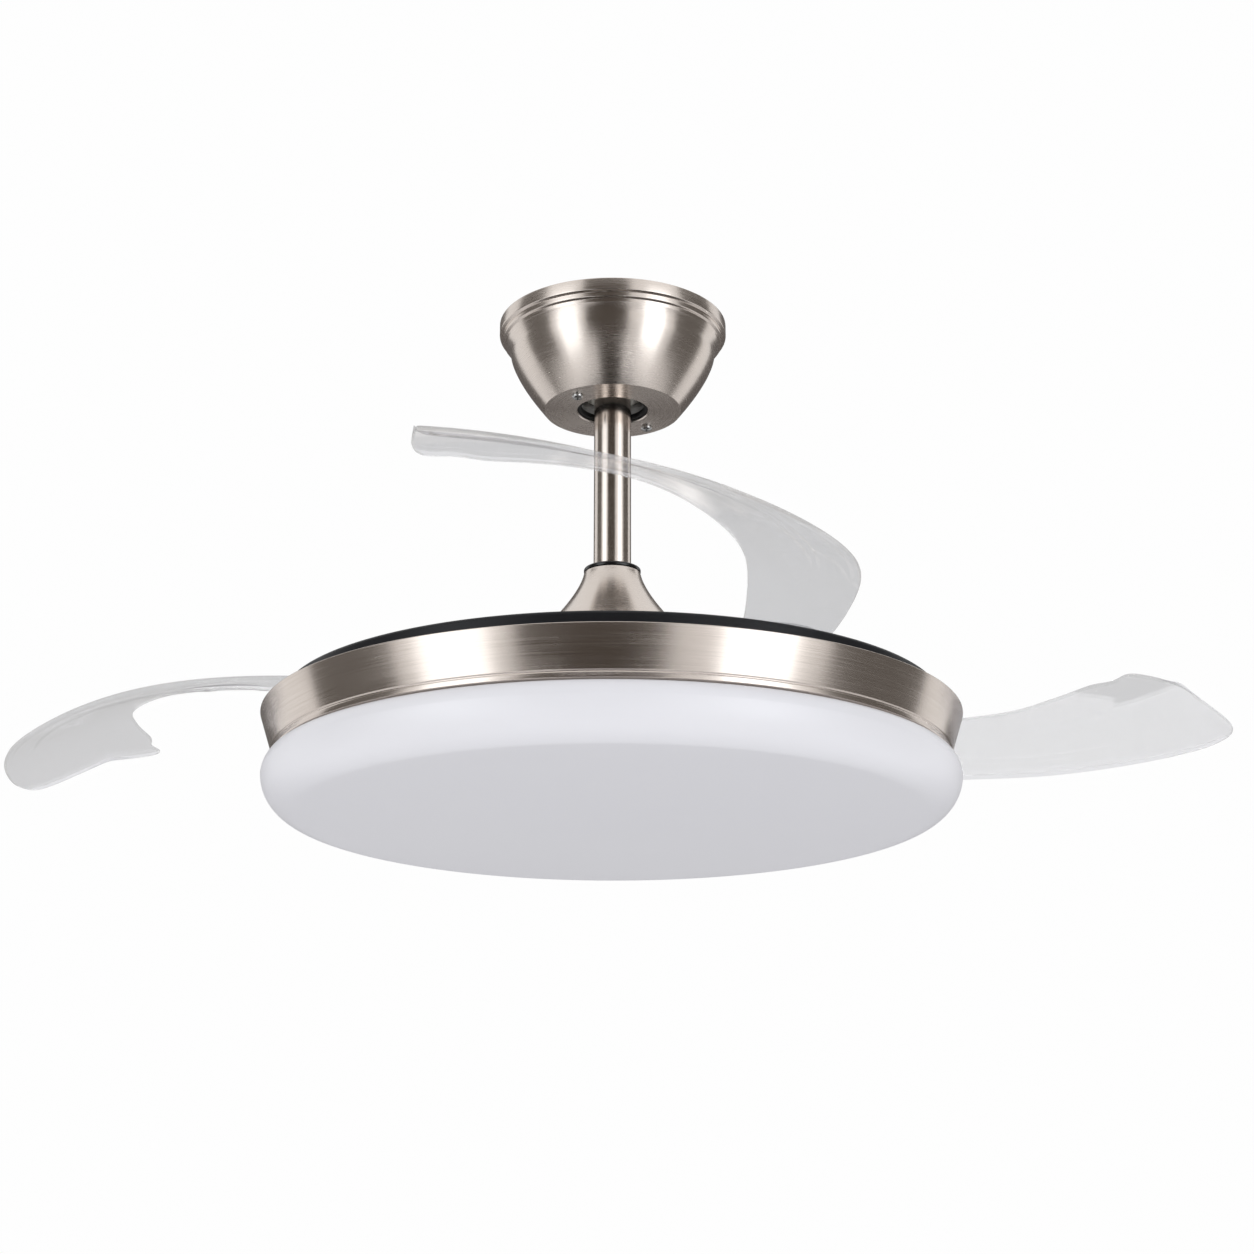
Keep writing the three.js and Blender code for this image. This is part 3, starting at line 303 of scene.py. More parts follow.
# Each finish: colour, the shade it varies towards, roughness, then what differs from a usual finish of its kind.
ringNickel = turnedMetal("ringNickel", (0.68, 0.61, 0.56), (0.6, 0.535, 0.485), 0.23, fineness=1300.0, bump=0.07)
canopyNickel = turnedMetal("canopyNickel", (0.67, 0.605, 0.555), (0.645, 0.58, 0.53), 0.26, fineness=1100.0,
                           bump=0.015)
tubeNickel = turnedMetal("tubeNickel", (0.68, 0.615, 0.565), (0.64, 0.575, 0.525), 0.2, bump=0.04, anisotropy=0.3)
zincSteel = plainFinish("zincSteel", (0.62, 0.62, 0.61), (0.52, 0.52, 0.52), 0.33, metallic=1.0, cloudScale=30.0)
darkSteel = plainFinish("darkSteel", (0.22, 0.22, 0.23), (0.16, 0.16, 0.17), 0.4, metallic=1.0, cloudScale=30.0)
siliconSteel = plainFinish("siliconSteel", (0.36, 0.36, 0.37), (0.28, 0.28, 0.29), 0.42, metallic=1.0,
                           cloudScale=24.0)
whiteSteel = plainFinish("whiteSteel", (0.84, 0.84, 0.83), (0.8, 0.8, 0.79), 0.45, bump=0.12)
satinBlack = plainFinish("satinBlack", (0.014, 0.015, 0.017), (0.010, 0.010, 0.012), 0.36, grainScale=1600.0,
                         bump=0.08, specular=0.2)
blackRubber = plainFinish("blackRubber", (0.012, 0.012, 0.012), (0.008, 0.008, 0.008), 0.55, bump=0.1,
                          specular=0.25)
glossBlack = plainFinish("glossBlack", (0.006, 0.006, 0.006), (0.004, 0.004, 0.004), 0.2, bump=0.02)
greyPlastic = plainFinish("greyPlastic", (0.7, 0.7, 0.68), (0.64, 0.64, 0.62), 0.5, bump=0.12)
nylonWhite = plainFinish("nylonWhite", (0.78, 0.76, 0.7), (0.72, 0.7, 0.64), 0.45, bump=0.08)
copperWire = plainFinish("copperWire", (0.75, 0.36, 0.2), (0.55, 0.24, 0.12), 0.35, metallic=1.0, grainScale=400.0)
ferriteGrey = plainFinish("ferriteGrey", (0.05, 0.05, 0.055), (0.035, 0.035, 0.04), 0.6, bump=0.1)
opalPlastic = plainFinish("opalPlastic", (0.80, 0.80, 0.835), (0.785, 0.785, 0.825), 0.38, cloudScale=3.0,
                          bump=0.03)
clearPlastic = clearFinish("clearPlastic", (0.47, 0.47, 0.51), 1.3, 0.37)

nodeFinishes = {
    "ceiling_bracket": zincSteel, "receiver": greyPlastic, "terminal_block": nylonWhite, "ball_seat": nylonWhite,
    "hanger_ball": nylonWhite, "ball_pin": zincSteel, "coupling": darkSteel, "coupling_pin": zincSteel,
    "cotter_pin": zincSteel, "motor_shaft": darkSteel, "upper_bearing": darkSteel, "lower_bearing": darkSteel,
    "rotor_shell": siliconSteel, "rotor_lid": siliconSteel, "magnet_ring": ferriteGrey,
    "stator_core": siliconSteel, "stator_winding": copperWire, "light_pan": whiteSteel, "shaft_nut": zincSteel,
    "led_board": whiteSteel, "led_driver": greyPlastic, "supply_cable": greyPlastic,
    "canopy_gasket": blackRubber, "collar": glossBlack, "canopy": canopyNickel, "bell_cover": canopyNickel,
    "down_tube": tubeNickel, "trim_ring": ringNickel, "blade_plate": satinBlack, "diffuser": opalPlastic,
    "canopy_screw_1": zincSteel, "canopy_screw_2": zincSteel,
}
for k in range(1, bladeCount + 1):
    nodeFinishes.update({
        f"plate_screw_{k}": zincSteel, f"pivot_block_{k}": nylonWhite, f"swing_stop_{k}": blackRubber,
        f"return_spring_{k}": darkSteel, f"pivot_pin_{k}": zincSteel, f"spring_lever_{k}": zincSteel,
        f"lever_screw_{k}": zincSteel, f"blade_{k}": clearPlastic, f"diffuser_clip_{k}": zincSteel,
    })
for nodeName, material in nodeFinishes.items():
    mesh = nodes[nodeName].data
    mesh.materials.clear()
    mesh.materials.append(material)
print("finishes ready")


canopyShape = {
    "rimRadius": 85.8, "rimTop": -1.0, "rimBottom": -10.0, "wall": 1.5, "topFillet": 0.5,
    "step": 2.6,  # how far each small step goes in
    "steps": [[0, 0, 0.9], [1, 0.9, 0.5], [1, 4.4, 1.3], [1.9, 4.9, 0.4], [2.1, 7.2, 0.8]],  # steps, drop, fillet
    "lead": [0.6, 4.0],  # the wall runs into the bowl from this far out and up
    "bowlTop": -25.7, "bowlRadius": 77.0, "draw": 1.38, "bottom": -69.7, "bottomRadius": 51.4,
    "hole": 26.4, "holeLip": 0.7,
    "innerSteps": 2.5, "innerDrop": 5.0, "innerRim": 3.0,  # the inside behind the steps
}


# The bowl's side: radius falls from the bowl's top by a power of the depth, down to the flat bottom.
def bowlCurve(shape, offset, steps):
    share = np.linspace(0, 1, steps)
    reach = shape["bowlRadius"] - shape["bottomRadius"]
    drop = shape["bowlTop"] - shape["bottom"] - offset
    radius = shape["bowlRadius"] - reach * share ** shape["draw"] - offset
    return np.stack([radius, shape["bowlTop"] - drop * share], axis=1)


# The canopy's section, turned: stepped rim, bowl, flat bottom with its hole, then the inside back up.
def makeCanopy(shape):
    wall, rim, step, low = shape["wall"], shape["rimRadius"], shape["step"], shape["rimBottom"]
    upper = roundedOutline([
        (rim - wall, shape["rimTop"]), (rim, shape["rimTop"], shape["topFillet"]),
        *[(rim - count * step, low - drop, fillet) for count, drop, fillet in shape["steps"]],
        (shape["bowlRadius"] + shape["lead"][0], shape["bowlTop"] + shape["lead"][1]),
    ], steps=7)
    outside = bowlCurve(shape, 0.0, 40)
    inside = bowlCurve(shape, wall, 24)[::-1]
    hole, bottom, lip = shape["hole"], shape["bottom"], shape["holeLip"]
    lipped = np.array([[hole + lip, bottom], [hole, bottom + lip], [hole, bottom + wall]])
    back = np.array([[rim - shape["innerSteps"] * step - wall, low - shape["innerDrop"]],
                     [rim - wall - shape["innerRim"], low]])
    outline = np.concatenate([upper[1:], outside, lipped, inside, back, upper[:1]])
    return makePiece("canopyBowl", turned(outline, 256), "ceiling", ["canopy"], canopyNickel,
                     sharpAngle=32)


gasketShape = {"inner": 23.4, "outer": 27.2, "bottom": -67.9, "top": -63.9, "innerFillet": 1.2,
               "outerFillet": 0.8}


# A rounded rectangle, turned.
def makeGasket(shape):
    outline = roundedOutline([
        (shape["inner"], shape["bottom"], shape["innerFillet"]),
        (shape["outer"], shape["bottom"], shape["outerFillet"]),
        (shape["outer"], shape["top"], shape["outerFillet"]),
        (shape["inner"], shape["top"], shape["innerFillet"])])
    return makePiece("gasketRing", turned(outline, 128), "ceiling", ["canopy_gasket"], blackRubber)


screwShape = {
    "circle": 40.0, "angle": 50.0, "seat": -69.9, "headRadius": 4.2, "headHeight": 2.9, "fall": 0.45,
    "cross": 0.55, "crossReach": 0.62, "crossDepth": 1.7, "backScale": 0.98,
}


# A pan head: its height over the face falls with the fourth power of radius, and a cross is sunk in it.
def makeScrew(name, node, turn, shape):
    radius = np.concatenate([np.linspace(0, shape["headRadius"], 40), [shape["headRadius"]]])
    angle = np.linspace(0, 2 * np.pi, 96, endpoint=False)
    grid = np.broadcast_to(radius[None, :], (len(angle), len(radius)))
    share = grid / shape["headRadius"]
    dome = shape["headHeight"] * (1 - shape["fall"] * share ** 4)
    x, y = grid * np.cos(angle)[:, None], grid * np.sin(angle)[:, None]
    arm = np.minimum(np.abs(x), np.abs(y)) < shape["cross"]
    sunk = arm & (share < shape["crossReach"])
    dome = np.where(sunk, dome - shape["crossDepth"] * (1 - share), dome)
    dome[:, -1] = 0.0
    back = np.stack([x[:, ::-1] * shape["backScale"], y[:, ::-1] * shape["backScale"], np.zeros_like(x)], axis=2)
    front = np.stack([x, y, -dome], axis=2)
    points = np.concatenate([front, back[:, 1:]], axis=1)
    a = math.radians(shape["angle"] + turn)
    points = points + np.array([shape["circle"] * math.cos(a), shape["circle"] * math.sin(a), shape["seat"]])
    return makePiece(name, points, "ceiling", [node], zincSteel, closed=(True, False), sharpAngle=50)


makeCanopy(canopyShape)
makeGasket(gasketShape)
makeScrew("canopyScrewNear", "canopy_screw_2", 180, screwShape)
makeScrew("canopyScrewFar", "canopy_screw_1", 0, screwShape)
print("canopy ready")


tubeShape = {"radius": 13.8, "wall": 1.6, "top": -26.0, "bottom": -265.4}
collarShape = {"inner": 14.1, "outer": 20.9, "bottom": -198.4, "height": 3.1}
bellShape = {
    "top": -198.7, "topRadius": 20.8, "topEdge": [[0.8, 0.0], [0.2, 0.25]],  # in from the edge, down from the top
    "neckDrop": 29.4, "neckRadius": 36.6, "flare": 1.45, "shoulderDrop": 67.0, "pull": 15.0,
    "skirtRadius": 58.0, "bottom": -294.7, "wall": 1.5, "hole": 14.1,
}


# A tube's two walls, turned.
def makeTube(shape):
    outer, inner = shape["radius"], shape["radius"] - shape["wall"]
    height = np.linspace(shape["top"], shape["bottom"], 60)
    outline = np.concatenate([np.stack([np.full_like(height, outer), height], axis=1),
                              np.stack([np.full_like(height, inner), height[::-1]], axis=1)])
    return makePiece("hangingTube", turned(outline, 128), "hanger", ["down_tube"], tubeNickel)


# A rectangle with its outer corners rounded, turned.
def makeCollar(shape):
    top = shape["bottom"] + shape["height"]
    outline = roundedOutline([
        (shape["inner"], shape["bottom"]), (shape["outer"], shape["bottom"], 0.6), (shape["outer"], top, 1.4),
        (shape["inner"], top, 0.4)])
    return makePiece("collarRing", turned(outline, 128), "hanger", ["collar"], glossBlack)


# A hollow flare (radius grows with a power of depth), then a cubic Bezier bend over to the straight skirt.
def bellCurve(shape, offset):
    share = np.linspace(0, 1, 40)
    grow = shape["neckRadius"] - shape["topRadius"]
    radius = shape["topRadius"] + grow * share ** shape["flare"]
    flare = np.stack([radius, shape["top"] - shape["neckDrop"] * share], axis=1)
    neck, shoulder, pull = shape["top"] - shape["neckDrop"], shape["top"] - shape["shoulderDrop"], shape["pull"]
    slope = grow * shape["flare"] / shape["neckDrop"]
    ends = np.array([[shape["neckRadius"], neck], [shape["neckRadius"] + pull * slope, neck - pull],
                     [shape["skirtRadius"], shoulder + pull], [shape["skirtRadius"], shoulder]])
    t = np.linspace(0, 1, 40)[1:, None]
    weights = np.hstack([(1 - t) ** 3, 3 * t * (1 - t) ** 2, 3 * t ** 2 * (1 - t), t ** 3])
    curve = np.concatenate([flare, weights @ ends, [[shape["skirtRadius"], shape["bottom"]]]])
    return curve - [offset, 0.0]


# The bell's outer curve and the same curve moved in by the wall, joined at the bottom and round the top's hole.
def makeBell(shape):
    outside = bellCurve(shape, 0.0)
    inside = bellCurve(shape, shape["wall"])
    top, hole, roof = shape["top"], shape["hole"], shape["top"] - shape["wall"]
    inside = inside[inside[:, 1] < roof][::-1]
    edge = [[shape["topRadius"] - back, top - down] for back, down in shape["topEdge"]]
    crown = np.array([[hole, top], *edge])
    under = np.array([[inside[-1, 0], roof], [hole, roof]])
    outline = np.concatenate([crown, outside[2:], inside, under])
    return makePiece("bellCover", turned(outline, 192), "hanger", ["bell_cover"], canopyNickel,
                     sharpAngle=32)


makeTube(tubeShape)
makeCollar(collarShape)
makeBell(bellShape)
print("tube and bell ready")


plateShape = {
    "radius": 236.3, "top": ringTop + 12, "skirt": 20.0, "wall": 3.0, "hole": 22.3, "hub": 95.0,
    "hubUnder": ringTop + 6.0, "edgeFillet": 2.6,
    "rimGroove": [228.3, 0.7], "hubGroove": [70.6, 0.8],  # outer radius, depth
    "grooveWidth": 4.2, "grooveSlope": 1.2,
}
ringShape = {
    "topRadius": 250.1, "bottomRadius": 240.0, "height": 33.5, "wall": 1.5, "flange": 13.0,
    # The small foot below the slope: out from the bottom's radius, up from the bottom, fillet.
    "foot": [[1.4, 6.0, 0.6], [0.5, 5.1, 0.5], [0.9, 4.0, 1.0], [0.9, 0.9, 1.2], [-1.0, 0.0, 0.8]],
}


# A shallow groove: from its outer radius down a short slope, in along its floor and up again.
def groove(shape, start, depth):
    top, slope, end = shape["top"], shape["grooveSlope"], start - shape["grooveWidth"]
    return [(start, top, 0.6), (start - slope, top - depth, 0.5), (end + slope, top - depth, 0.5), (end, top, 0.6)]


# The plate's section, turned: hub, underside, skirt, rounded rim and a top with two grooves.
def makePlate(shape):
    top, outer, wall = shape["top"], shape["radius"], shape["wall"]
    outline = roundedOutline([
        (shape["hole"], shape["hubUnder"]), (shape["hub"], shape["hubUnder"]), (shape["hub"], top - wall, 1),
        (outer - wall, top - wall, 3), (outer - wall, top - shape["skirt"], 0.6), (outer, top - shape["skirt"], 0.8),
        (outer, top - 0.1, shape["edgeFillet"]), *groove(shape, *shape["rimGroove"]),
        *groove(shape, *shape["hubGroove"]), (shape["hole"], top, 0.8)])
    return makePiece("bladePlate", turned(outline, 288), "rotor", ["blade_plate"], satinBlack)


# The ring's section, turned: it slopes in from the top edge to a small foot and a flange under it.
def makeRing(shape):
    outer, low, wall, foot = shape["topRadius"], shape["bottomRadius"], shape["wall"], shape["foot"]
    bottom, flange = ringTop - shape["height"], low - shape["flange"]
    outline = roundedOutline([
        (outer - wall, ringTop, 0.3), (outer, ringTop, 0.9),
        *[(low + out, bottom + up, fillet) for out, up, fillet in foot],
        (flange, bottom, 0.4), (flange, bottom + wall), (low - wall, bottom + wall, 1),
        (low + foot[0][0] - wall, bottom + foot[0][1])])
    return makePiece("trimRing", turned(outline, 320), "hanger", ["trim_ring"], ringNickel,
                     sharpAngle=38)


makePlate(plateShape)
makeRing(ringShape)
print("plate and ring ready")


diffuserShape = {
    "radius": 247.9, "top": ringTop - 34.1, "height": 36.4, "corner": 26.0, "shoulder": 8.0,
    "shoulderHeight": 12.0, "wall": 2.5,
    "lugs": 3, "lugInner": 222.0, "lugHalf": 11.6, "lugTop": ringTop - 43.1, "lugThickness": 2.5,
    "lugFillet": 0.5, "lugSink": 2.2,  # how far short of the outer face a lug ends
}


# From the middle of the flat bottom, round the lower corner (a quarter circle) and in over the shoulder
# (a quarter ellipse) to the rim.
def diffuserCurve(shape, offset):
    bottom, start = shape["top"] - shape["height"], shape["radius"] - shape["corner"]
    across = np.linspace(0, start, 16)[:-1]
    flat = np.stack([across, np.full_like(across, bottom + offset)], axis=1)
    angle = np.linspace(0, np.pi / 2, 28)
    turn = shape["corner"] - offset
    bend = np.stack([start + turn * np.sin(angle), bottom + shape["corner"] - turn * np.cos(angle)], axis=1)
    angle = np.linspace(0, np.pi / 2, 16)[1:]
    shoulder = np.stack([
        shape["radius"] - offset - shape["shoulder"] * (1 - np.cos(angle)),
        shape["top"] - shape["shoulderHeight"] * (1 - np.sin(angle))], axis=1)
    return np.concatenate([flat, bend, shoulder])


# The outer curve and the same curve moved in by the wall, turned, and three lugs under the rim.
def makeDiffuser(shape):
    outline = np.concatenate([diffuserCurve(shape, 0.0), diffuserCurve(shape, shape["wall"])[::-1]])
    bowl = makePiece("diffuserBowl", turned(outline, 288), "light_cover", ["diffuser"], opalPlastic,
                     closed=(True, False))
    for index in range(shape["lugs"]):
        makeLug(shape, index)
    return bowl


# A lug inside the rim: a rounded bar's section carried inwards along a short straight path, closed at its ends.
def makeLug(shape, index):
    top, half, fillet = shape["lugTop"], shape["lugHalf"], shape["lugFillet"]
    bottom = top - shape["lugThickness"]
    outline = roundedOutline([(-half, bottom, fillet), (half, bottom, fillet), (half, top, fillet),
                              (-half, top, fillet)], steps=4)
    along = np.linspace(shape["lugInner"], shape["radius"] - shape["lugSink"], 8)
    section = np.broadcast_to(outline[None], (len(along), *outline.shape))
    flat = np.stack([np.broadcast_to(along[:, None], section.shape[:2]), section[..., 0], section[..., 1]], axis=2)
    inner = np.broadcast_to(flat[0].mean(axis=0), flat[0].shape)
    outer = np.broadcast_to(flat[-1].mean(axis=0), flat[0].shape)
    points = np.concatenate([inner[None], flat, outer[None]])
    turn = 2 * np.pi * index / shape["lugs"]
    spin = np.array([[math.cos(turn), math.sin(turn), 0], [-math.sin(turn), math.cos(turn), 0], [0, 0, 1]])
    return makePiece(f"diffuserLug{index + 1}", points @ spin, "light_cover", [], opalPlastic,
                     closed=(False, True))


makeDiffuser(diffuserShape)
print("diffuser ready")


bladeShape = {
    "pivotCircle": 176.0, "pivotAngle": -52.5, "lean": 4.5, "leanAngle": -66.5,
    "heading": -72.4, "turn": 103.0, "length": 430.0, "rootHeight": 17.0, "rise": 28.9, "peak": 1.33,
    "outerPitch": 24.3, "innerPitch": 19.8, "tipPitch": 5.1, "thickness": 3.0, "edge": 1.5,
    "outerGrow": 0.66, "innerGrow": 0.3, "tipFrom": 0.5, "foldWidth": 6.0,  # how the pitch changes over the blade
    "outerEdge": [[0, 30], [70, 33], [150, 43.4], [230, 46.7], [310, 57.1], [370, 62.9], [402, 62.7], [422, 53.6],
                  [428, 22.3], [429.5, 0]],
    "innerEdge": [[0, 28], [70, 31.8], [150, 29.8], [220, 31.5], [280, 31.2], [330, 40.2], [376, 48.5], [402, 45],
                  [426, 45.5], [432.5, 28], [429.5, 0]],
    "rest": [0.0, 15.4, -10.8],
    "bossRadius": 30.0, "bossBottom": 3.0, "bossTop": 15.0, "bossWall": 2.5, "bossRoof": 3.0, "pinBore": 6.3,
    "hubWall": 4.0, "cutBottom": -30.0, "cutTop": 40.0,
}
# Raised lines on the underside: path points [along the crease, out from it], and the length that fades out.
bladeRibs = {
    "rootRib": {"path": [[40, -1], [72, 1.8], [107, 4.5], [127, 9.4], [150, 13], [176, 15], [200, 17], [231, 23],
                         [262, 29], [302, 34], [345, 37], [392, 37]], "height": 0.55, "halfWidth": 1.6, "fade": 60},
    "twinRib": {"path": [[40, 9], [70, 9.3], [100, 9.5], [145, 17], [166, 20.5], [193, 23.5], [211, 26],
                         [240, 30]], "height": 0.5, "halfWidth": 1.5, "fade": 40},
    "plateEdge": {"path": [[88, -27], [110, -27], [138, -23], [156, -5], [165, 12], [164, 21], [154, 28],
                           [123, 31], [90, 31]], "height": 0.35, "halfWidth": 1.4, "fade": 8},
    "rootArc": {"path": [[120, -29], [110, -27.4], [90, -18.3], [77, -8], [71, 4], [74, 18], [88, 30]],
                "height": 0.35, "halfWidth": 1.4, "fade": 8},
}
gateRing = {"along": 120.5, "out": 3.0, "radius": 5.2, "height": 0.45, "halfWidth": 1.2}
# A ridge inside the outer edge: it nears the edge and rises near the root, and falls near the tip.
edgeLip = {"inset": 6.5, "height": 0.4, "halfWidth": 1.6, "near": [60, 120], "rise": [60, 130],
           "fall": [395, 420], "farOff": 50}


# A smooth curve through all points: each span is a cubic whose end slopes are half its neighbours' step.
def catmullRom(points, t):
    points = np.array(points, dtype=float)
    last = len(points) - 1
    place = np.clip(t, 0, 1) * last
    span = np.minimum(place.astype(int), last - 1)
    local = (place - span)[:, None]
    p0, p1 = points[np.maximum(span - 1, 0)], points[span]
    p2, p3 = points[span + 1], points[np.minimum(span + 2, last)]
    v0, v1 = (p2 - p0) / 2, (p3 - p1) / 2
    cubic, square = 2 * p1 - 2 * p2 + v0 + v1, -3 * p1 + 3 * p2 - 2 * v0 - v1
    return cubic * local ** 3 + square * local ** 2 + v0 * local + p1


# A point `along` an arc that leaves the pivot and `out` from it. The arc's height is a parabola along it, and
# the sheet falls away outwards by a pitch that grows from the root and differs either side of the arc.
def bladeSurface(shape, along, out):
    share = along / shape["length"]
    arc = shape["length"] / math.radians(shape["turn"])
    start = math.radians(shape["heading"])
    heading = start - along / arc
    pivotX, pivotY, _ = pivotPoint(shape)
    centreX, centreY = pivotX + arc * math.sin(start), pivotY - arc * math.cos(start)
    crease = shape["rootHeight"] + shape["rise"] * (1 - ((share - shape["peak"]) / shape["peak"]) ** 2)
    outer = shape["outerPitch"] * ease(0, shape["outerGrow"], share)
    towardsTip = (shape["tipPitch"] - shape["innerPitch"]) * ease(shape["tipFrom"], 1, share)
    inner = ease(0, shape["innerGrow"], share) * (shape["innerPitch"] + towardsTip)
    blend = 0.5 + 0.5 * np.tanh(out / shape["foldWidth"])
    pitch = inner + (outer - inner) * blend
    height = crease - out * np.tan(np.radians(pitch)) + ringTop
    return np.stack([centreX - (arc + out) * np.sin(heading), centreY + (arc + out) * np.cos(heading), height], -1)


# The distance from each point to a line of short straight pieces, and the piece's place on it (0 to 1).
def nearest(along, out, line):
    flat = np.stack([along.ravel(), out.ravel()], axis=1).astype(np.float32)
    start, step = line[:-1].astype(np.float32), np.diff(line, axis=0).astype(np.float32)
    square = (step * step).sum(axis=1) + 1e-9
    distance, place = [], []
    for block in np.array_split(flat, 24):  # in blocks, to save memory
        gap = block[:, None, :] - start[None]
        share = np.clip((gap * step).sum(axis=2) / square, 0, 1)
        apart = np.linalg.norm(gap - share[..., None] * step[None], axis=2)
        best = apart.argmin(axis=1)
        distance.append(apart[np.arange(len(block)), best])
        place.append(best / len(step))
    return np.concatenate(distance).reshape(along.shape), np.concatenate(place).reshape(along.shape)


# The sum of rounded ridges: height times exp(-(distance / half width) to the fourth), and squared for the lip.
def ribField(along, out, outerOut):
    field = np.zeros_like(along)
    for rib in bladeRibs.values():
        distance, place = nearest(along, out, catmullRom(rib["path"], np.linspace(0, 1, 90)))
        length = np.linalg.norm(np.diff(np.array(rib["path"], dtype=float), axis=0), axis=1).sum()
        fade = ease(0, rib["fade"] / length, 1 - place)
        field += rib["height"] * fade * np.exp(-(distance / rib["halfWidth"]) ** 4)
    ring = np.hypot(along - gateRing["along"], out - gateRing["out"]) - gateRing["radius"]
    field += gateRing["height"] * np.exp(-(ring / gateRing["halfWidth"]) ** 4)
    near = ease(*edgeLip["near"], along)
    lip = (outerOut - edgeLip["inset"] - out) * near + edgeLip["farOff"] * (1 - near)
    strength = ease(*edgeLip["rise"], along) * (1 - ease(*edgeLip["fall"], along))
    field += edgeLip["height"] * strength * np.exp(-(lip / edgeLip["halfWidth"]) ** 2)
    return field


# The sheet: each row goes from the outer edge over the crease to the inner edge, above and then back below.
# Its half thickness near the rim is the height of a quarter circle. Cells are closer together at both edges.
def bladeSheet(shape, rows=340, cells=112):
    t = np.linspace(0, 1, rows) ** 0.85
    outer = catmullRom(shape["outerEdge"], t)
    inner = catmullRom([[a, -b] for a, b in shape["innerEdge"]], t)
    middle = np.stack([(outer[:, 0] + inner[:, 0]) / 2, np.zeros(rows)], axis=1)
    q = np.linspace(-1, 1, cells)
    q = np.sign(q) * (1 - (1 - np.abs(q)) ** 1.25)
    outerShare, innerShare = np.clip(-q, 0, 1)[None, :, None], np.clip(q, 0, 1)[None, :, None]
    plan = (outer[:, None] * outerShare + inner[:, None] * innerShare
            + middle[:, None] * (1 - outerShare - innerShare))
    along, out = plan[..., 0], plan[..., 1]
    rimLine = np.concatenate([outer, inner[::-1]])
    depth = np.minimum(nearest(along, out, rimLine)[0] / shape["edge"], 1)
    rim = np.sqrt(np.clip(1 - (1 - depth) ** 2, 0, 1))
    surface = bladeSurface(shape, along, out)
    half = shape["thickness"] / 2
    upper, lower = surface.copy(), surface.copy()
    upper[..., 2] += half * rim
    lower[..., 2] -= half * rim + ribField(along, out, outer[:, None, 1]) * ease(0, 1, depth)
    return np.concatenate([upper, lower[:, ::-1]], axis=1)


def turnMatrix(axis, degrees):
    return np.array(Matrix.Rotation(math.radians(degrees), 3, Vector(axis)))


# The pivot leans over by turning about the level line square to the way it leans.
def leanMatrix(shape):
    a = math.radians(shape["leanAngle"] + 90)
    return turnMatrix((math.cos(a), math.sin(a), 0), shape["lean"])


def pivotPoint(shape):
    a = math.radians(shape["pivotAngle"])
    return np.array([shape["pivotCircle"] * math.cos(a), shape["pivotCircle"] * math.sin(a), plateShape["top"]])


# A solid made at the first blade's rest swings about its leaning pivot, then turns to its own third.
def toBladeRest(points, shape, index):
    lean, pivot = leanMatrix(shape), pivotPoint(shape)
    swing = lean @ turnMatrix((0, 0, 1), shape["rest"][index]) @ lean.T
    third = turnMatrix((0, 0, 1), -360 / bladeCount * index)
    return ((points - pivot) @ swing.T + pivot) @ third.T


def solidObject(name, points, closed):
    rows, columns = points.shape[:2]
    return addObject(name, finishMesh(name, points * mm, gridFaces(rows, columns, *closed), 40))


# One solid from two, by a boolean whose result is kept as the base's own mesh.
def combine(base, other, operation):
    modifier = base.modifiers.new(operation, "BOOLEAN")
    modifier.operation = operation
    modifier.solver = "EXACT"
    modifier.object = other
    bpy.context.view_layer.update()
    mesh = bpy.data.meshes.new_from_object(base.evaluated_get(bpy.context.evaluated_depsgraph_get()))
    base.modifiers.clear()
    base.data = mesh
    bpy.data.objects.remove(other)
    return base


# A row at the root that gathers to one point, so that the sheet is a closed solid. The tip's row is a point.
def closedSheet(points):
    first = np.broadcast_to(points[0].mean(axis=0), points[0].shape)
    return np.concatenate([first[None], points])


# The sheet is cut open where the boss's hollow goes, joined to the turned boss, and bored for the pivot pin.
def makeBlade(shape, index):
    lean, pivot = leanMatrix(shape), pivotPoint(shape)
    bore, outer, wall = shape["pinBore"], shape["bossRadius"], shape["bossWall"]
    hub, low, top = bore + shape["hubWall"], shape["bossBottom"], shape["bossTop"]
    roof = top - shape["bossRoof"]
    bossOutline = roundedOutline([
        (bore, low, 0.4), (hub, low, 0.6), (hub, roof, 1.0), (outer - wall, roof, 1.5), (outer - wall, low, 0.6),
        (outer, low, 0.8), (outer, top, 2.2), (bore, top, 0.6)])
    hollow, ceiling = outer - wall / 2, roof + shape["bossRoof"] / 2  # both end inside the boss's own walls
    cutBottom, cutTop = shape["cutBottom"], shape["cutTop"]
    cavityOutline = np.array([[0, cutBottom], [hollow, cutBottom], [hollow, ceiling], [0, ceiling]])
    boreOutline = np.array([[0, cutBottom], [bore, cutBottom], [bore, cutTop], [0, cutTop]])
    solid = solidObject(f"bladeSheet{index + 1}", closedSheet(bladeSheet(shape)), (False, True))
    cavity = solidObject("cavity", turned(cavityOutline, 96) @ lean.T + pivot, (True, False))
    solid = combine(solid, cavity, "DIFFERENCE")
    boss = solidObject("boss", turned(bossOutline, 128) @ lean.T + pivot, (True, True))
    solid = combine(solid, boss, "UNION")
    pin = solidObject("pinHole", turned(boreOutline, 96) @ lean.T + pivot, (True, False))
    solid = combine(solid, pin, "DIFFERENCE")
    mesh = solid.data
    points = np.empty(len(mesh.vertices) * 3)
    mesh.vertices.foreach_get("co", points)
    moved = toBladeRest(points.reshape(-1, 3) / mm, shape, index) * mm
    mesh.vertices.foreach_set("co", moved.ravel())
    mesh.update()
    shadeSmooth(mesh, 40)
    bpy.data.objects.remove(solid)
    return placePiece(f"sickleBlade{index + 1}", mesh, f"blade_arm_{index + 1}", [f"blade_{index + 1}"],
                      clearPlastic)


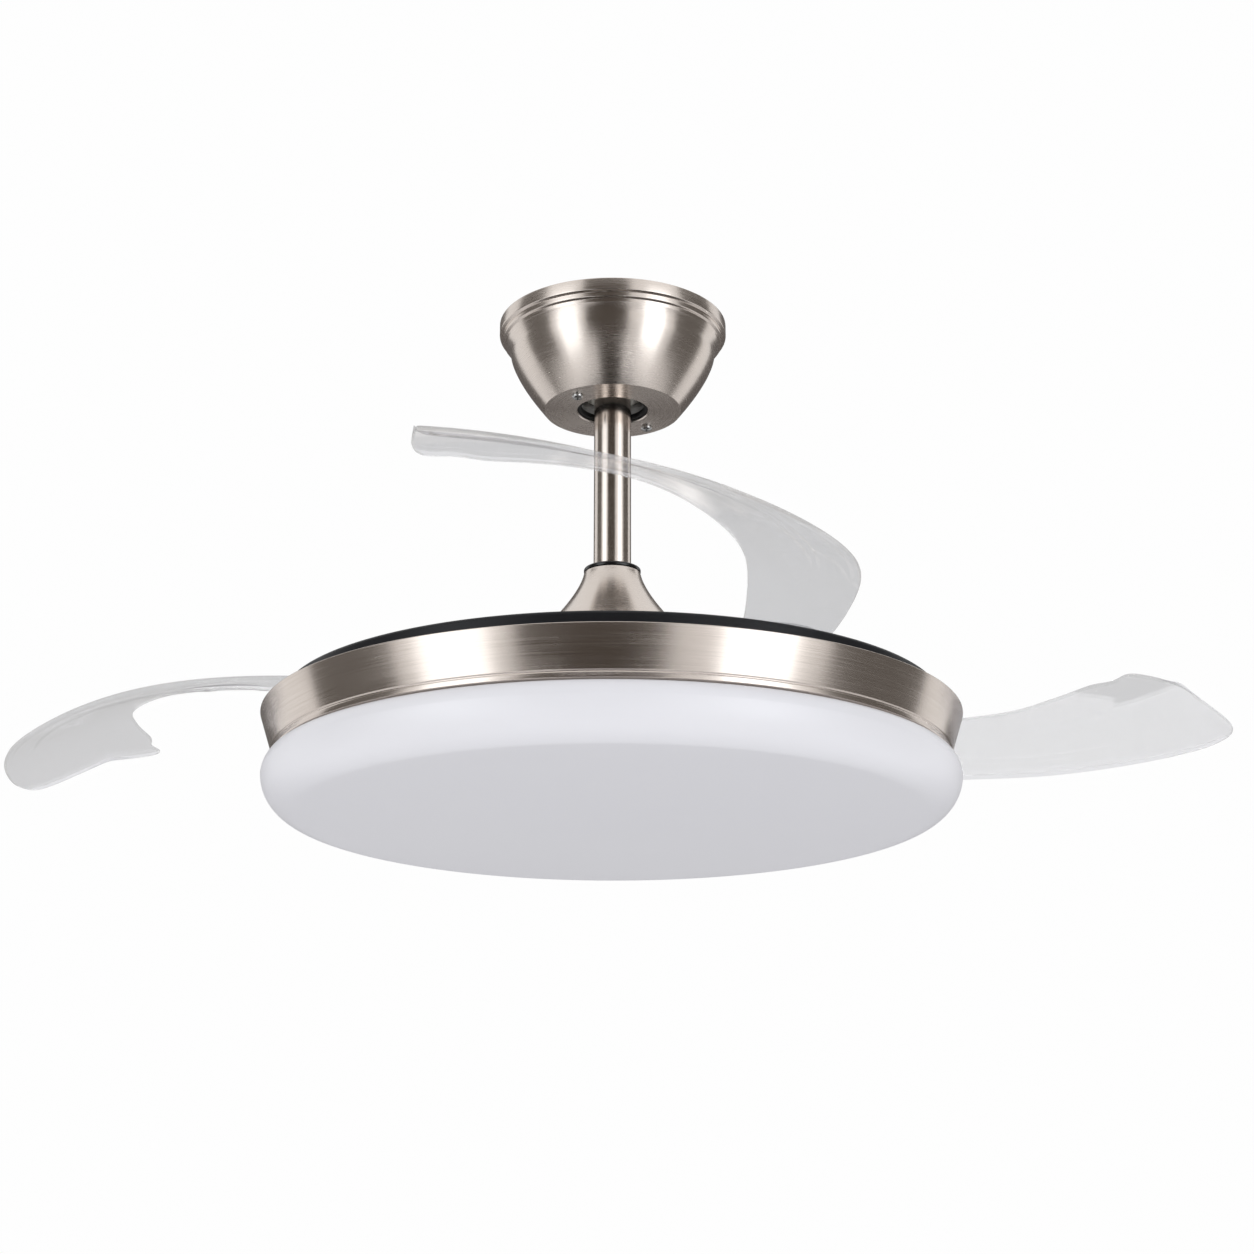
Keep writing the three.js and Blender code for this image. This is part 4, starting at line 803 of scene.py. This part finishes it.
for bladeIndex in range(bladeCount):
    makeBlade(bladeShape, bladeIndex)
print("blades ready")


# The studio is in metres. Azimuth is in degrees from the way to the camera, positive to the right.
cards = {  # azimuth, width, low, high, distance, colour
    "frontCard": (-6, 46, -4.0, 3.0, 4.0, (0.085, 0.073, 0.063)),
    "leftSideCard": (-88, 36, -4.0, 3.0, 4.0, (0.16, 0.15, 0.14)),
    "rightSideCard": (92, 44, -4.0, 3.0, 4.0, (0.15, 0.14, 0.13)),
    "leftSoftbox": (-49, 24, -2.25, 1.3, 3.4, (2.1, 2.17, 2.22)),
    "rightSoftbox": (46, 24, -2.25, 1.3, 3.4, (2.5, 2.58, 2.65)),
    "backCard": (180, 84, -4.0, 3.0, 4.0, (0.14, 0.13, 0.125)),
}
lowCard = {"azimuth": -3, "width": 34, "near": 0.9, "far": 4.2, "height": -2.24, "color": (0.05, 0.043, 0.037)}
floorFacts = {"radius": 9, "height": -2.3, "color": (0.86, 0.86, 0.87), "roughness": 0.9, "glow": 0.25}
skyFacts = {"light": 0.62, "seen": 0.37}  # what falls on the fan, and what is added where the camera looks
lamps = {  # place, what it points at, size, watts
    "keyLeft": ((-2.4, -1.9, 0.1), (0, 0, -0.3), (1.2, 2.0), 26),
    "keyRight": ((2.3, -2.1, 0.1), (0, 0, -0.3), (1.2, 2.0), 30),
    "fillBelow": ((0, -0.4, -2.1), (0, 0, -0.4), (2.0, 2.0), 9),
}
cameraFacts = {"lens": 63.16, "sensor": 36.0, "place": (0.0108, -1.5323, -0.7169), "pitch": 17.30}


def emissionMaterial(name, value):
    material = bpy.data.materials.new(name)
    material.use_nodes = True
    tree = material.node_tree
    tree.nodes.clear()
    glow = tree.nodes.new("ShaderNodeEmission")
    glow.inputs["Color"].default_value = (*value, 1)
    out = tree.nodes.new("ShaderNodeOutputMaterial")
    tree.links.new(glow.outputs[0], out.inputs[0])
    return material


def gridObject(name, points, closeRows=False):
    mesh = bpy.data.meshes.new(name)
    faces = gridFaces(points.shape[0], points.shape[1], closeRows, False)
    mesh.from_pydata(points.reshape(-1, 3).tolist(), [], faces.tolist())
    return addObject(name, mesh)


# Only metal and gloss see a card: the camera and the light pass through it.
def placeCard(name, points, value):
    card = gridObject(name, points)
    card.data.materials.append(emissionMaterial(name, value))
    card.visible_camera = False
    card.visible_diffuse = False
    card.visible_transmission = False
    card.visible_shadow = False
    return card


def spanOf(azimuth, width):
    return np.radians(np.linspace(azimuth - width / 2, azimuth + width / 2, 24))[:, None]


# A tall card on a cylinder round the fan: x = d sin a, y = -d cos a, z from low to high.
def makeCard(name, azimuth, width, low, high, distance, value):
    a, z = spanOf(azimuth, width), np.linspace(low, high, 6)[None, :]
    points = np.stack(np.broadcast_arrays(distance * np.sin(a), -distance * np.cos(a), z), -1)
    return placeCard(name, points, value)


# A flat dark card low in front of the fan, which the canopy's bowl reflects between its two bright bands.
def makeLowCard(facts):
    a, distance = spanOf(facts["azimuth"], facts["width"]), np.linspace(facts["near"], facts["far"], 6)[None, :]
    points = np.stack(np.broadcast_arrays(distance * np.sin(a), -distance * np.cos(a), facts["height"]), -1)
    return placeCard("lowCard", points, facts["color"])


# 1 for what the camera, metal and glass look at, 0 for light that falls on the fan.
def seenOnly(tree):
    paths = tree.nodes.new("ShaderNodeLightPath")
    return mathNode(tree, "MAXIMUM", paths.outputs["Is Camera Ray"], mathNode(
        tree, "MAXIMUM", paths.outputs["Is Glossy Ray"], paths.outputs["Is Transmission Ray"]))


# A pale disc far below the fan: x = r cos a, y = r sin a. It takes the fan's shadow, and glows a little only
# where it is seen.
def makeFloor(facts):
    radius = np.linspace(0, facts["radius"], 12)[None, :]
    angle = np.linspace(0, 2 * np.pi, 96, endpoint=False)[:, None]
    points = np.stack(np.broadcast_arrays(radius * np.cos(angle), radius * np.sin(angle), facts["height"]), -1)
    floor = gridObject("floor", points, closeRows=True)
    material, tree, shader = newMaterial("paleFloor")
    shader.inputs["Base Color"].default_value = (*facts["color"], 1)
    shader.inputs["Emission Color"].default_value = (1, 1, 1, 1)
    glow = mathNode(tree, "MULTIPLY", seenOnly(tree), facts["glow"])
    tree.links.new(glow, shader.inputs["Emission Strength"])
    shader.inputs["Roughness"].default_value = facts["roughness"]
    floor.data.materials.append(material)
    return floor


# A plain sky of one strength for the light it gives, and white where the camera, metal or glass looks at it.
def makeWorld(facts):
    world = bpy.data.worlds.new("studio")
    bpy.context.scene.world = world
    world.use_nodes = True
    tree = world.node_tree
    tree.nodes.clear()
    strength = mathNode(tree, "ADD", facts["light"], mathNode(tree, "MULTIPLY", seenOnly(tree), facts["seen"]))
    background = tree.nodes.new("ShaderNodeBackground")
    background.inputs["Color"].default_value = (1, 1, 1, 1)
    tree.links.new(strength, background.inputs["Strength"])
    out = tree.nodes.new("ShaderNodeOutputWorld")
    tree.links.new(background.outputs[0], out.inputs[0])


def makeLamp(name, place, target, size, watts):
    lamp = bpy.data.lights.new(name, "AREA")
    lamp.shape = "RECTANGLE"
    lamp.size, lamp.size_y = size
    lamp.energy = watts
    holder = addObject(name, lamp)
    holder.location = place
    holder.rotation_euler = (Vector(target) - Vector(place)).to_track_quat("-Z", "Y").to_euler()
    holder.visible_glossy = False
    holder.visible_camera = False
    return holder


def makeCamera(facts):
    lens = bpy.data.cameras.new("photoCamera")
    lens.lens = facts["lens"]
    lens.sensor_width = facts["sensor"]
    lens.clip_start = 0.01
    camera = addObject("photoCamera", lens)
    camera.location = facts["place"]
    camera.rotation_euler = (math.radians(90 + facts["pitch"]), 0, 0)
    bpy.context.scene.camera = camera
    return camera


for cardName, card in cards.items():
    makeCard(cardName, *card)
makeLowCard(lowCard)
makeFloor(floorFacts)
makeWorld(skyFacts)
for lampName, lamp in lamps.items():
    makeLamp(lampName, *lamp)
makeCamera(cameraFacts)
bpy.context.scene.view_settings.view_transform = "Standard"
print("studio ready")
